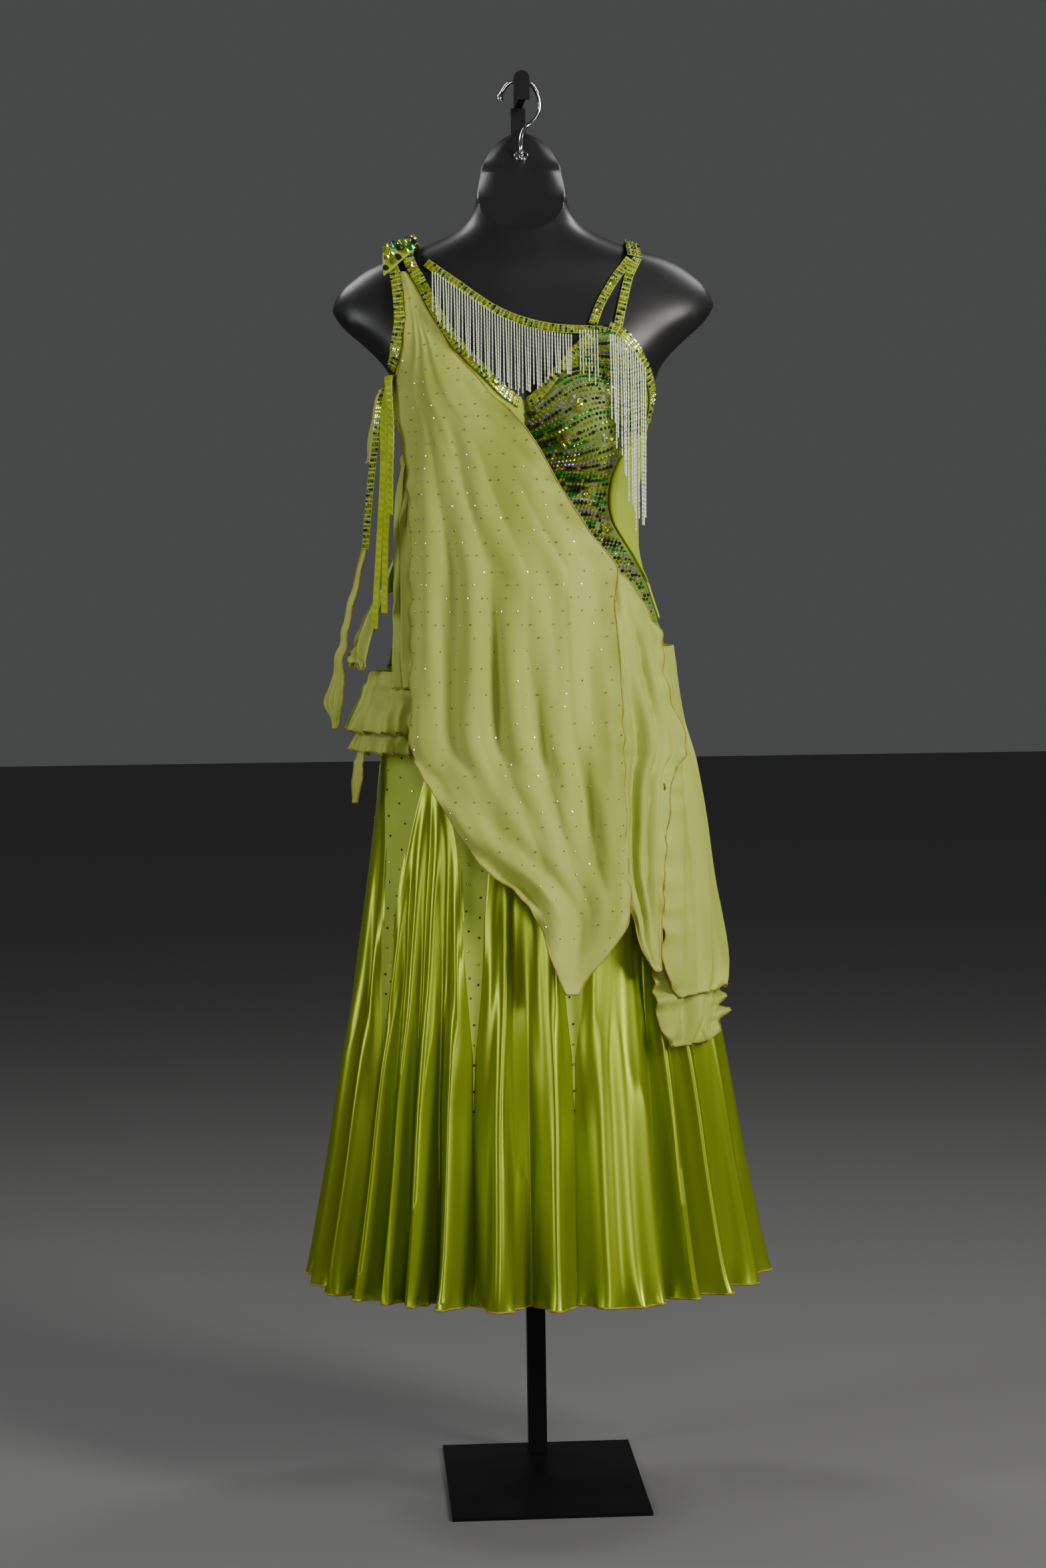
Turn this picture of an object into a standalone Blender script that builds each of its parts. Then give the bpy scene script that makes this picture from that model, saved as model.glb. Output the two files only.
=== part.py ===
# Ballroom dance dress on a hanging torso form and its stand.
# Metres, +Z up, the front of the dress faces -Y. The origin lies on the floor under the form.
import bpy
import bmesh
import math
import numpy as np
from mathutils import Matrix, Vector

# Driving sizes of the stand
PLATE_WIDTH = 0.229
PLATE_DEPTH = 0.320
PLATE_THICK = 0.004
PLATE_BACK = 0.155
STAND_TURN = math.radians(3.3)
STAND_X = 0.0045
COLUMN_FRONT = 0.1050
COLUMN_LOWER = 0.0223
COLUMN_UPPER = 0.0166
COLUMN_JOIN = 0.950
COLUMN_TOP = 1.6257
ARM_WIDTH = 0.0090
ARM_TOP = 1.6470
TONGUE_WIDTH = 0.0183
TONGUE_THICK = 0.0030
TONGUE_Y = 0.0350
TONGUE_TOP = 1.6596
HOOK_RADIUS = 0.0022
HOOK_BALL = 0.0042
HOOK_X = 0.0005
HOOK_Y = 0.0550
HOOK_HOLE = 0.0400

# Layer thicknesses, from the form outwards
GAP = 0.0003
WALL = 0.0015
BAND_WALL = 0.0018
CHIFFON = 0.0011
STRAND_DEPTH = 0.0014
FORM_INSET = 0.0036
FORM_SIDES = 40
LAYER_GAP = 0.0006
SEAT_GAP = 0.0002
FLOAT_LIFT = 0.0034
BARE_LIFT = -0.0016
SHOULDER_LIFT = 0.0010
BAND_END = 1.2636
ARMHOLE_END = 1.3035

# Heights along the garment
HEM = 0.250
HIP_SEAM = 0.970
BACK_TOP_SIDE = 1.262
BACK_TOP_MIDDLE = 1.150
SIDE_SEAM = 97.0
SEAM_HEIGHTS = (0.9703, 1.010, 1.050, 1.090, 1.130, 1.165, 1.195, 1.220, 1.242, 1.262)

# Torso rings: height, half width, front depth, back depth, roundness of the section
BODY_ROWS = (
    (0.860, 0.158, 0.084, 0.078, 2.3),
    (0.900, 0.165, 0.092, 0.085, 2.3),
    (0.940, 0.166, 0.095, 0.087, 2.3),
    (0.980, 0.160, 0.093, 0.083, 2.3),
    (1.020, 0.150, 0.089, 0.074, 2.3),
    (1.060, 0.138, 0.083, 0.065, 2.3),
    (1.105, 0.130, 0.080, 0.060, 2.3),
    (1.150, 0.130, 0.082, 0.062, 2.3),
    (1.200, 0.136, 0.086, 0.070, 2.4),
    (1.250, 0.145, 0.088, 0.078, 2.7),
    (1.295, 0.1545, 0.086, 0.083, 3.2),
    (1.312, 0.160, 0.084, 0.084, 3.2),
    (1.345, 0.191, 0.078, 0.084, 3.0),
    (1.376, 0.2225, 0.070, 0.083, 2.6),
    (1.400, 0.217, 0.064, 0.082, 2.2),
    (1.420, 0.194, 0.060, 0.081, 2.0),
    (1.437, 0.165, 0.056, 0.079, 2.0),
    (1.446, 0.134, 0.053, 0.078, 2.0),
    (1.4565, 0.105, 0.050, 0.077, 2.0),
    (1.470, 0.0765, 0.046, 0.0755, 2.0),
    (1.484, 0.059, 0.043, 0.074, 2.1),
    (1.505, 0.052, 0.040, 0.072, 2.1),
    (1.550, 0.050, 0.039, 0.070, 2.1),
    (1.610, 0.050, 0.039, 0.070, 2.1),
)
# Cups: how far out, how high, half width, fall above and below, and how deep they stand
CUP_SIDE = 0.076
CUP_HEIGHT = 1.236
CUP_WIDTH = 0.052
CUP_ABOVE = 0.078
CUP_BELOW = 0.050
CUP_DEPTH = 0.040
# Plane that ends the neck: a point on it and its outward normal
NECK_POINT = (-0.030, 1.486)
NECK_SLOPE = (-0.726, 0.688)

# Skirt rings: height, half width, front depth, back depth, roundness
SKIRT_ROWS = (
    (0.250, 0.248, 0.198, 0.142, 2.1),
    (0.310, 0.240, 0.188, 0.136, 2.1),
    (0.390, 0.229, 0.174, 0.128, 2.15),
    (0.460, 0.221, 0.162, 0.122, 2.2),
    (0.525, 0.213, 0.153, 0.117, 2.2),
    (0.600, 0.203, 0.143, 0.111, 2.2),
    (0.690, 0.193, 0.131, 0.105, 2.25),
    (0.765, 0.184, 0.121, 0.100, 2.25),
    (0.830, 0.177, 0.112, 0.096, 2.3),
    (0.885, 0.172, 0.105, 0.0925, 2.3),
    (0.930, 0.169, 0.101, 0.090, 2.3),
    (0.970, 0.1645, 0.097, 0.0875, 2.3),
)
# Skirt gores: the angle of each point, 0 at the front and growing to the right
GORE_ANGLES = (-100.0, -54.5, -17.0, 10.5, 60.5, 95.0, 131.0, 174.0, 214.0)
# Share of its pitch that a gore fills: height, share
GORE_SHARE = (
    (0.525, 0.03),
    (0.600, 0.15),
    (0.690, 0.26),
    (0.765, 0.40),
    (0.830, 0.70),
    (0.880, 0.985),
    (0.885, 1.00),
)
# Flutes of the hem, ridges and hollows in turn: angle, reach
FLUTES = (
    (-100.0, -0.014), (-92.0, 0.017), (-84.0, -0.008), (-76.0, 0.016), (-69.0, -0.010),
    (-62.0, 0.020), (-54.5, -0.016), (-49.0, 0.016), (-45.0, -0.006), (-41.0, 0.014),
    (-37.0, -0.008), (-33.0, 0.014), (-28.5, -0.014), (-23.0, 0.018), (-17.0, -0.018),
    (-8.5, 0.022), (-1.0, -0.014), (4.6, 0.018), (10.5, -0.018), (17.0, 0.013),
    (24.5, 0.020), (32.0, 0.012), (37.0, -0.014), (41.5, 0.012), (45.5, -0.012),
    (52.0, 0.018), (60.5, -0.016), (69.0, 0.018), (78.0, -0.010), (87.0, 0.019),
    (95.0, -0.014), (104.0, 0.017), (113.0, -0.012), (122.0, 0.020), (131.0, -0.016),
    (140.0, 0.019), (148.0, -0.010), (156.0, 0.018), (165.0, 0.006), (174.0, -0.041),
    (180.0, -0.047), (186.0, -0.041), (195.0, 0.008), (204.0, 0.020), (214.0, -0.015),
    (224.0, 0.018), (233.0, -0.012), (242.0, 0.019), (251.0, -0.012), (260.0, -0.014),
)
FLUTE_TOP = 0.860
FLUTE_POWER = 1.3
SKIRT_HEIGHTS = (0.250, 0.310, 0.390, 0.460, 0.525, 0.600, 0.690, 0.765, 0.830, 0.880)
GORE_HEIGHTS = (0.525, 0.600, 0.690, 0.765, 0.830, 0.885, 0.930, 0.970)

# The loose drapery hangs on wider rings: height, half width, front depth, back depth, roundness
HANG_ROWS = (
    (0.500, 0.255, 0.215, 0.150, 2.2),
    (0.600, 0.240, 0.195, 0.140, 2.2),
    (0.700, 0.228, 0.178, 0.131, 2.2),
    (0.800, 0.212, 0.158, 0.123, 2.2),
    (0.900, 0.196, 0.142, 0.124, 2.2),
    (1.000, 0.178, 0.134, 0.119, 2.2),
    (1.100, 0.160, 0.132, 0.100, 2.2),
    (1.200, 0.156, 0.134, 0.088, 2.2),
    (1.240, 0.157, 0.132, 0.088, 2.4),
    (1.295, 0.160, 0.108, 0.090, 2.8),
)
LEFT_ROWS = (
    (0.800, 0.206, 0.146, 0.122, 2.1),
    (0.860, 0.209, 0.143, 0.121, 2.1),
    (0.890, 0.213, 0.140, 0.120, 2.1),
    (0.960, 0.209, 0.131, 0.117, 2.1),
    (1.000, 0.205, 0.124, 0.104, 2.1),
    (1.050, 0.196, 0.112, 0.096, 2.1),
    (1.110, 0.186, 0.100, 0.086, 2.1),
)

# Outlines of the panels of the bodice, seen from the front: height, left edge, right edge
FRONT_LEFT_ROWS = (
    (1.2700, -0.1470, -0.0010),
    (1.2850, -0.1460, -0.0260),
    (1.2950, -0.1445, -0.0350),
    (1.3100, -0.1430, -0.0480),
    (1.3300, -0.1410, -0.0650),
    (1.3550, -0.1410, -0.0835),
    (1.3800, -0.1450, -0.0970),
    (1.4000, -0.1455, -0.1060),
    (1.4180, -0.1440, -0.1140),
)
FRONT_RIGHT_ROWS = (
    (1.0150, 0.0010, 0.1505),
    (1.0410, 0.0010, 0.1450),
    (1.0590, 0.0010, 0.1375),
    (1.0750, 0.0010, 0.1295),
    (1.0950, 0.0010, 0.1190),
    (1.1140, 0.0010, 0.1075),
    (1.1310, 0.0010, 0.0980),
    (1.1490, 0.0010, 0.0940),
    (1.1650, 0.0010, 0.0940),
    (1.1950, 0.0010, 0.1015),
    (1.2090, 0.0010, 0.1090),
    (1.2220, 0.0010, 0.1195),
    (1.2330, 0.0010, 0.1310),
    (1.2420, 0.0010, 0.1405),
    (1.2550, 0.0010, 0.1440),
    (1.2700, 0.0010, 0.1465),
    (1.2850, 0.0235, 0.1475),
    (1.3000, 0.0360, 0.1440),
    (1.3150, 0.0480, 0.1370),
    (1.3300, 0.0600, 0.1270),
    (1.3420, 0.0695, 0.1170),
    (1.3510, 0.0790, 0.1080),
)
SIDE_PANEL_TOP = 1.2310
SIDE_PANEL_BOTTOM = 1.0200

# Middle lines of the stoned bands on the body: across, height
NECKLACE_PATH = (
    (-0.1095, 1.4300), (-0.0940, 1.4185), (-0.0750, 1.4045), (-0.0540, 1.3885),
    (-0.0315, 1.3735), (-0.0020, 1.3605), (0.0330, 1.3515), (0.0600, 1.3490),
)
NECK_LEFT_PATH = (
    (-0.0070, 1.2665), (-0.0290, 1.2790), (-0.0500, 1.3010), (-0.0710, 1.3260),
    (-0.0880, 1.3520), (-0.1030, 1.3800), (-0.1140, 1.4030), (-0.1230, 1.4200),
)
NECK_RIGHT_PATH = (
    (0.0065, 1.2665), (0.0225, 1.2760), (0.0380, 1.2930), (0.0500, 1.3085),
    (0.0640, 1.3240), (0.0760, 1.3360),
)
ARMHOLE_LEFT_PATH = (
    (-0.1475, 1.3110), (-0.1450, 1.3220), (-0.1425, 1.3420), (-0.1400, 1.3600),
    (-0.1405, 1.3800), (-0.1425, 1.4030), (-0.1455, 1.4200),
)
ARMHOLE_RIGHT_PATH = (
    (0.0960, 1.3490), (0.1090, 1.3430), (0.1180, 1.3330), (0.1270, 1.3210),
    (0.1345, 1.3080), (0.1390, 1.2930), (0.1420, 1.2750), (0.1410, 1.2580), (0.1390, 1.2440),
)
STRAP_INNER_PATH = ((0.0810, 1.3600), (0.0890, 1.3800), (0.1040, 1.4060), (0.1140, 1.4200))
STRAP_OUTER_PATH = ((0.1085, 1.3570), (0.1160, 1.3900), (0.1215, 1.4110), (0.1255, 1.4200))
NECK_LEFT_BACK = ((-0.1170, 1.4000), (-0.1060, 1.3500), (-0.0990, 1.2950), (-0.0990, BAND_END))
ARMHOLE_LEFT_BACK = ((-0.1390, 1.3900), (-0.1290, 1.3500), (-0.1240, 1.2950), (-0.1240, BAND_END))
STRAP_RIGHT_BACK = ((0.1200, 1.4000), (0.1110, 1.3600), (0.1040, 1.2950), (0.1040, BAND_END))
PIPING_PATH = (
    (0.1335, 1.2325), (0.1215, 1.2205), (0.1105, 1.2090), (0.1030, 1.1940), (0.0975, 1.1790),
    (0.0955, 1.1645), (0.0955, 1.1495), (0.0995, 1.1315), (0.1090, 1.1145), (0.1207, 1.0950),
    (0.1312, 1.0745), (0.1395, 1.0580), (0.1468, 1.0400), (0.1510, 1.0190),
)
PIPING_RADIUS = 0.0016
BAND_WIDTH = 0.0125
STRAP_WIDTH = 0.0100
ORNAMENT_CLEAR = 0.0022
ORNAMENT_THICK = 0.0030

# Fringe of the front: across, height of the roots, height of the ends
FRONT_FRINGE = (
    (-0.1050, 1.4145, 1.3900),
    (-0.0940, 1.4060, 1.3690),
    (-0.0750, 1.3925, 1.3420),
    (-0.0540, 1.3765, 1.3180),
    (-0.0315, 1.3620, 1.2960),
    (-0.0020, 1.3495, 1.2790),
    (0.0120, 1.3460, 1.2850),
    (0.0330, 1.3415, 1.3030),
    (0.0560, 1.3390, 1.2990),
)
FRONT_STRANDS = 54
# Fringe of the right corner: across, height of the roots, height of the ends
SIDE_FRINGE = (
    (0.0960, 1.3400, 1.2700),
    (0.1060, 1.3350, 1.2450),
    (0.1150, 1.3250, 1.2000),
    (0.1250, 1.3120, 1.1500),
    (0.1330, 1.2980, 1.1220),
    (0.1390, 1.2830, 1.1500),
)
SIDE_STRANDS = 15
STRAND_WIDTH = 0.0020
STRAND_CLEAR = 0.0020
STRIP_HEIGHT = 0.0040
FRONT_CLEAR = 0.0062

# Front float: height, left edge, right edge, depth of the folds
FLOAT_ROWS = (
    (1.4180, -0.1380, -0.1315, 0.000),
    (1.4000, -0.1350, -0.1215, 0.000),
    (1.3800, -0.1330, -0.1120, 0.001),
    (1.3550, -0.1330, -0.0975, 0.001),
    (1.3250, -0.1345, -0.0800, 0.002),
    (1.3000, -0.1400, -0.0600, 0.003),
    (1.2700, -0.1430, -0.0330, 0.004),
    (1.2450, -0.1400, -0.0060, 0.004),
    (1.2150, -0.1360, 0.0150, 0.005),
    (1.1760, -0.1340, 0.0360, 0.006),
    (1.1390, -0.1330, 0.0570, 0.006),
    (1.1050, -0.1330, 0.0820, 0.006),
    (1.0830, -0.1330, 0.0960, 0.006),
    (1.0400, -0.1330, 0.0945, 0.006),
    (0.9900, -0.1330, 0.0980, 0.007),
    (0.9200, -0.1335, 0.1030, 0.008),
    (0.8760, -0.1335, 0.1055, 0.008),
    (0.8360, -0.1115, 0.1070, 0.008),
    (0.7930, -0.0870, 0.1085, 0.009),
    (0.7450, -0.0540, 0.1100, 0.009),
    (0.7080, -0.0080, 0.1130, 0.009),
    (0.6840, 0.0065, 0.1100, 0.008),
    (0.6490, 0.0185, 0.0855, 0.006),
    (0.6200, 0.0290, 0.0600, 0.003),
    (0.6030, 0.0360, 0.0500, 0.001),
)
FLOAT_UNDER_ROWS = (
    (1.2350, -0.1500, -0.1300),
    (1.2000, -0.1550, -0.1260),
    (1.1200, -0.1570, -0.1230),
    (1.0450, -0.1590, -0.1210),
    (0.9800, -0.1610, -0.1200),
    (0.9460, -0.1590, -0.1200),
)
HIP_FRONT_ROWS = (
    (1.0760, 0.0950, 0.1030),
    (1.0630, 0.0905, 0.1190),
    (1.0480, 0.0900, 0.1320),
    (1.0280, 0.0900, 0.1420),
    (1.0060, 0.0920, 0.1540),
    (0.9700, 0.0940, 0.1600),
    (0.9360, 0.0950, 0.1665),
    (0.9000, 0.0960, 0.1785),
    (0.8680, 0.0970, 0.1820),
    (0.8450, 0.0980, 0.1700),
    (0.7900, 0.1000, 0.1620),
    (0.7350, 0.1020, 0.1560),
    (0.6900, 0.1150, 0.1530),
    (0.6450, 0.1260, 0.1500),
    (0.6250, 0.1400, 0.1500),
)
HIP_SIDE_ROWS = (
    (0.9900, 0.1560, 110.0),
    (0.9400, 0.1570, 112.0),
    (0.8600, 0.1600, 113.0),
    (0.7850, 0.1600, 113.0),
    (0.7200, 0.1560, 111.0),
    (0.6600, 0.1540, 106.0),
    (0.6200, 0.1560, 100.0),
    (0.5950, 0.1740, 82.0),
)
CASCADE_ROWS = (
    (0.6350, 0.1500, 88.0),
    (0.5900, 0.1530, 85.0),
    (0.5600, 0.1590, 77.0),
    (0.5400, 0.1680, 66.0),
)
# Left drapery: height, front edge across or its angle, angle of the hidden edge
HIP_LEFT_ROWS = (
    (1.1000, -76.0, -110.0),
    (1.0500, -72.0, -110.0),
    (1.0050, -69.0, -106.0),
    (0.9840, -67.0, -90.0),
    (0.9690, -65.0, -74.0),
)
RUFFLE_UPPER_ROWS = (
    (0.9660, -0.1420, -118.0),
    (0.9300, -0.1400, -118.0),
    (0.8950, -0.1380, -118.0),
)
RUFFLE_LOWER_ROWS = (
    (0.9260, -0.1380, -114.0),
    (0.8940, -0.1370, -114.0),
    (0.8700, -0.1370, -112.0),
)
# Hanging pieces beside the body: height, outer edge, inner edge, depth at the outer and inner edge
TAIL_ROWS = (
    (1.1044, -0.1905, -0.1850, -0.0080, -0.0122),
    (1.0500, -0.2055, -0.1990, -0.004, -0.016),
    (0.9870, -0.2205, -0.2115, 0.000, -0.022),
    (0.9450, -0.2310, -0.2150, 0.004, -0.024),
    (0.9265, -0.2365, -0.2150, 0.004, -0.024),
    (0.9110, -0.2310, -0.2190, 0.000, -0.020),
    (0.8980, -0.2260, -0.2215, -0.004, -0.012),
)
SMALL_TAIL_ROWS = (
    (0.8400, -0.2045, -0.1930, -0.050, -0.062),
    (0.8130, -0.2035, -0.1990, -0.052, -0.058),
)
BACK_DRAPE_ROWS = (
    (1.2900, -0.1690, -0.1640, 0.010, -0.0195),
    (1.2500, -0.1765, -0.1690, 0.018, -0.0195),
    (1.2050, -0.1815, -0.1755, 0.020, -0.0165),
)
EDGE_STRAP_ROWS = (
    (1.2740, -0.1690, -0.1615, -0.020, -0.025),
    (1.2220, -0.1765, -0.1685, -0.018, -0.024),
    (1.1880, -0.1815, -0.1735, -0.017, -0.023),
    (1.1530, -0.1855, -0.1775, -0.014, -0.020),
    (1.1050, -0.1905, -0.1825, -0.008, -0.014),
)
STRIPS = (
    ("strip_left_long", (
        (1.2640, -0.1640, -0.1570, -0.050, -0.058),
        (1.2000, -0.1660, -0.1590, -0.050, -0.058),
        (1.1000, -0.1730, -0.1660, -0.046, -0.054),
        (1.0130, -0.1790, -0.1720, -0.062, -0.070),
    )),
    ("strip_left_middle", (
        (1.2640, -0.1590, -0.1520, -0.063, -0.071),
        (1.2000, -0.1590, -0.1520, -0.062, -0.070),
        (1.1000, -0.1650, -0.1580, -0.060, -0.068),
        (1.0310, -0.1670, -0.1600, -0.068, -0.076),
    )),
    ("strip_left_short", (
        (1.2640, -0.1560, -0.1495, -0.075, -0.082),
        (1.2400, -0.1550, -0.1485, -0.078, -0.085),
        (1.1900, -0.1570, -0.1505, -0.078, -0.085),
        (1.1430, -0.1580, -0.1515, -0.076, -0.083),
    )),
)


def smooth_value(rows, column, height):
    """Value of one column at a height, on a smooth line through the rows that never overshoots."""
    table = sorted(rows)
    heights = [row[0] for row in table]
    values = [row[column] for row in table]
    if height <= heights[0]:
        return values[0]
    if height >= heights[-1]:
        return values[-1]
    steps = [heights[i + 1] - heights[i] for i in range(len(heights) - 1)]
    slopes = [(values[i + 1] - values[i]) / steps[i] for i in range(len(steps))]
    tangents = [slopes[0]]
    for i in range(1, len(steps)):
        if slopes[i - 1] * slopes[i] <= 0:
            tangents.append(0.0)
        else:
            before = 2 * steps[i] + steps[i - 1]
            after = steps[i] + 2 * steps[i - 1]
            tangents.append((before + after) / (before / slopes[i - 1] + after / slopes[i]))
    tangents.append(slopes[-1])
    i = max(k for k in range(len(steps)) if heights[k] <= height)
    t = (height - heights[i]) / steps[i]
    first = (2 * t**3 - 3 * t**2 + 1) * values[i] + (t**3 - 2 * t**2 + t) * steps[i] * tangents[i]
    second = (3 * t**2 - 2 * t**3) * values[i + 1] + (t**3 - t**2) * steps[i] * tangents[i + 1]
    return first + second


def straight_value(rows, column, height):
    """Value of one column at a height, or a place across, on straight lines between the rows."""
    table = sorted(rows)
    return float(np.interp(height, [row[0] for row in table], [row[column] for row in table]))


def ease_step(low, high, value):
    """Smooth step from 0 at low to 1 at high."""
    t = min(max((value - low) / (high - low), 0.0), 1.0)
    return t * t * (3 - 2 * t)


def signed_power(value, power):
    return math.copysign(abs(value) ** power, value)


def cup(across, height):
    """How far the cups stand out at a place on the front."""
    fall = CUP_ABOVE if height > CUP_HEIGHT else CUP_BELOW
    side = (abs(across) - CUP_SIDE) / CUP_WIDTH
    rise = (height - CUP_HEIGHT) / fall
    return CUP_DEPTH * math.exp(-side * side - rise * rise)


def flute_reach(angle):
    """Reach of the hem's flutes at an angle, on soft waves between the rows."""
    turn = (angle + 100.0) % 360.0 - 100.0
    for first, second in zip(FLUTES, FLUTES[1:]):
        if first[0] <= turn <= second[0]:
            t = (turn - first[0]) / (second[0] - first[0])
            soft = (1 - math.cos(math.pi * t)) / 2
            return first[1] + (second[1] - first[1]) * soft
    return FLUTES[0][1]


def flute_fade(height):
    share = (FLUTE_TOP - height) / (FLUTE_TOP - HEM)
    return max(share, 0.0) ** FLUTE_POWER


def ring_point(rows, angle, height, kind):
    """Point on a ring, at an angle from the front. The kind adds the cups or the flutes."""
    half = smooth_value(rows, 1, height)
    front = smooth_value(rows, 2, height)
    back = smooth_value(rows, 3, height)
    power = 2 / smooth_value(rows, 4, height)
    turn = math.radians(angle)
    across = half * signed_power(math.sin(turn), power)
    depth = front if math.cos(turn) > 0 else back
    along = -depth * signed_power(math.cos(turn), power)
    if kind == "body":
        along -= cup(across, height) * min(max(math.cos(turn) * 3, 0.0), 1.0)
    if kind == "skirt":
        reach = flute_reach(angle) * flute_fade(height)
        outward = Vector((across / half**2, along / depth**2, 0.0)).normalized()
        across += outward.x * reach
        along += outward.y * reach
    return Vector((across, along, height))


def ring_normal(rows, angle, height, kind):
    """Outward normal of the ring surface."""
    side = ring_point(rows, angle + 0.4, height, kind) - ring_point(rows, angle - 0.4, height, kind)
    rise = ring_point(rows, angle, height + 0.002, kind) - ring_point(rows, angle, height - 0.002, kind)
    normal = side.cross(rise)
    return normal.normalized()


def ring_angle(rows, across, height):
    """Angle on the front half where the ring has this distance across."""
    half = smooth_value(rows, 1, height)
    power = smooth_value(rows, 4, height) / 2
    share = min(abs(across) / half, 1.0)
    return math.copysign(math.degrees(math.asin(share**power)), across)


def cloth_lift(height):
    """Lift of the bodice's inner face over the torso rings: the form is let in below the arms."""
    return -0.0004 + 0.0030 * ease_step(1.240, 1.290, height)


def form_inset(height):
    return FORM_INSET * (1 - ease_step(1.250, 1.335, height))


def body_spot(angle, height, lift):
    """Point and normal on the torso, moved out by the lift of the cloth and a layer's own lift."""
    normal = ring_normal(BODY_ROWS, angle, height, "body")
    point = ring_point(BODY_ROWS, angle, height, "body") + normal * (cloth_lift(height) + lift)
    return point, normal


def ring_spot(rows, angle, height, kind, lift):
    normal = ring_normal(rows, angle, height, kind)
    return ring_point(rows, angle, height, kind) + normal * lift, normal


def make_material(name, colour, roughness, metallic):
    material = bpy.data.materials.new(name)
    material.use_nodes = True
    shader = material.node_tree.nodes["Principled BSDF"]
    shader.inputs["Base Color"].default_value = (*colour, 1.0)
    shader.inputs["Roughness"].default_value = roughness
    shader.inputs["Metallic"].default_value = metallic
    return material


def make_object(name, bm, material):
    """Turn a bmesh into one named object, faces out and shaded smooth."""
    bmesh.ops.recalc_face_normals(bm, faces=bm.faces)
    mesh = bpy.data.meshes.new(name)
    bm.to_mesh(mesh)
    bm.free()
    mesh.shade_smooth()
    mesh.set_sharp_from_angle(angle=math.radians(50))
    mesh.materials.append(material)
    piece = bpy.data.objects.new(name, mesh)
    bpy.context.scene.collection.objects.link(piece)
    return piece


def wall(name, outer, inner, material):
    """Closed wall between two grids of points with the same rows and columns."""
    rows = len(outer)
    columns = len(outer[0])
    bm = bmesh.new()
    out = [[bm.verts.new(point) for point in row] for row in outer]
    back = [[bm.verts.new(point) for point in row] for row in inner]
    for i in range(rows - 1):
        for j in range(columns - 1):
            for grid in (out, back):
                bm.faces.new((grid[i][j], grid[i][j + 1], grid[i + 1][j + 1]))
                bm.faces.new((grid[i][j], grid[i + 1][j + 1], grid[i + 1][j]))
    border = [(0, j) for j in range(columns)] + [(i, columns - 1) for i in range(1, rows)]
    border += [(rows - 1, j) for j in range(columns - 2, -1, -1)]
    border += [(i, 0) for i in range(rows - 2, 0, -1)]
    for (i, j), (k, m) in zip(border, border[1:] + border[:1]):
        bm.faces.new((out[i][j], out[k][m], back[k][m]))
        bm.faces.new((out[i][j], back[k][m], back[i][j]))
    return make_object(name, bm, material)


def spread(first, last, count):
    return [first + (last - first) * k / (count - 1) for k in range(count)]


def layer(name, heights, edges, spot, columns, thick, material):
    """Panel in level rows. edges(height) gives its two angles, spot(angle, height) a point and normal."""
    outer = []
    inner = []
    for height in heights:
        first, last = edges(height)
        spots = [spot(angle, height) for angle in spread(first, last, columns)]
        inner.append([point for point, normal in spots])
        outer.append([point + normal * thick for point, normal in spots])
    return wall(name, outer, inner, material)


def smooth_path(points, count):
    """Even points on a smooth line through the given ones."""
    given = [np.array(point, dtype=float) for point in points]
    ends = [2 * given[0] - given[1]] + given + [2 * given[-1] - given[-2]]
    fine = []
    for a, b, c, d in zip(ends, ends[1:], ends[2:], ends[3:]):
        for t in spread(0.0, 0.9, 10):
            fine.append(0.5 * (2 * b + (c - a) * t + (2 * a - 5 * b + 4 * c - d) * t**2
                               + (3 * b - a - 3 * c + d) * t**3))
    fine.append(given[-1])
    reach = np.cumsum([0.0] + [float(np.linalg.norm(q - p)) for p, q in zip(fine, fine[1:])])
    places = np.linspace(0.0, reach[-1], count)
    return [np.array([np.interp(s, reach, [p[k] for p in fine]) for k in range(len(given[0]))])
            for s in places]


def shoulder_height(across, angle):
    """Height at which the shoulder has this distance across, at an angle past the slope of the ring."""
    low, high = 1.385, 1.600
    for step in range(40):
        middle = (low + high) / 2
        reach = smooth_value(BODY_ROWS, 1, middle)
        reach *= abs(math.sin(math.radians(angle))) ** (2 / smooth_value(BODY_ROWS, 4, middle))
        if reach > abs(across):
            low = middle
        else:
            high = middle
    return (low + high) / 2


def ribbon(name, spots, width, thick, material, lift=None):
    """Band along a line of points with normals. With a lift, its edges too lie on the front."""
    outer = []
    inner = []
    for k, (point, normal) in enumerate(spots):
        before = spots[max(k - 1, 0)][0]
        after = spots[min(k + 1, len(spots) - 1)][0]
        across = (after - before).cross(normal).normalized() * (width / 2)
        low = [(point - across, normal), (point, normal), (point + across, normal)]
        if lift is not None and point.z < 1.405 and point.y < 0 and abs(point.x) < 0.130:
            low = [body_spot(ring_angle(BODY_ROWS, place.x, place.z), place.z, lift) for place, up in low]
        inner.append([place for place, up in low])
        outer.append([place + up * thick for place, up in low])
    return wall(name, outer, inner, material)


def front_spots(path, count, lift):
    """Points and normals on the front of the body along a line of (across, height)."""
    spots = []
    for across, height in smooth_path(path, count):
        spots.append(body_spot(ring_angle(BODY_ROWS, across, height), height, lift))
    return spots


def over_shoulder(across_front, across_back, angles, lift):
    """Points and normals from the front of a shoulder over its top, settling on the form behind."""
    spots = []
    for k, angle in enumerate(angles):
        across = across_front + (across_back - across_front) * k / (len(angles) - 1)
        settled = lift + (SHOULDER_LIFT - lift) * ease_step(108.0, 128.0, abs(angle))
        spots.append(body_spot(angle, shoulder_height(across, angle), settled))
    return spots


def back_spots(path, count, lift):
    """Points and normals on the back along a line of (across, height)."""
    spots = []
    for across, height in smooth_path(path, count):
        front_angle = ring_angle(BODY_ROWS, across, height)
        spots.append(body_spot(math.copysign(180.0, across) - front_angle, height, lift))
    return spots


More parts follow.
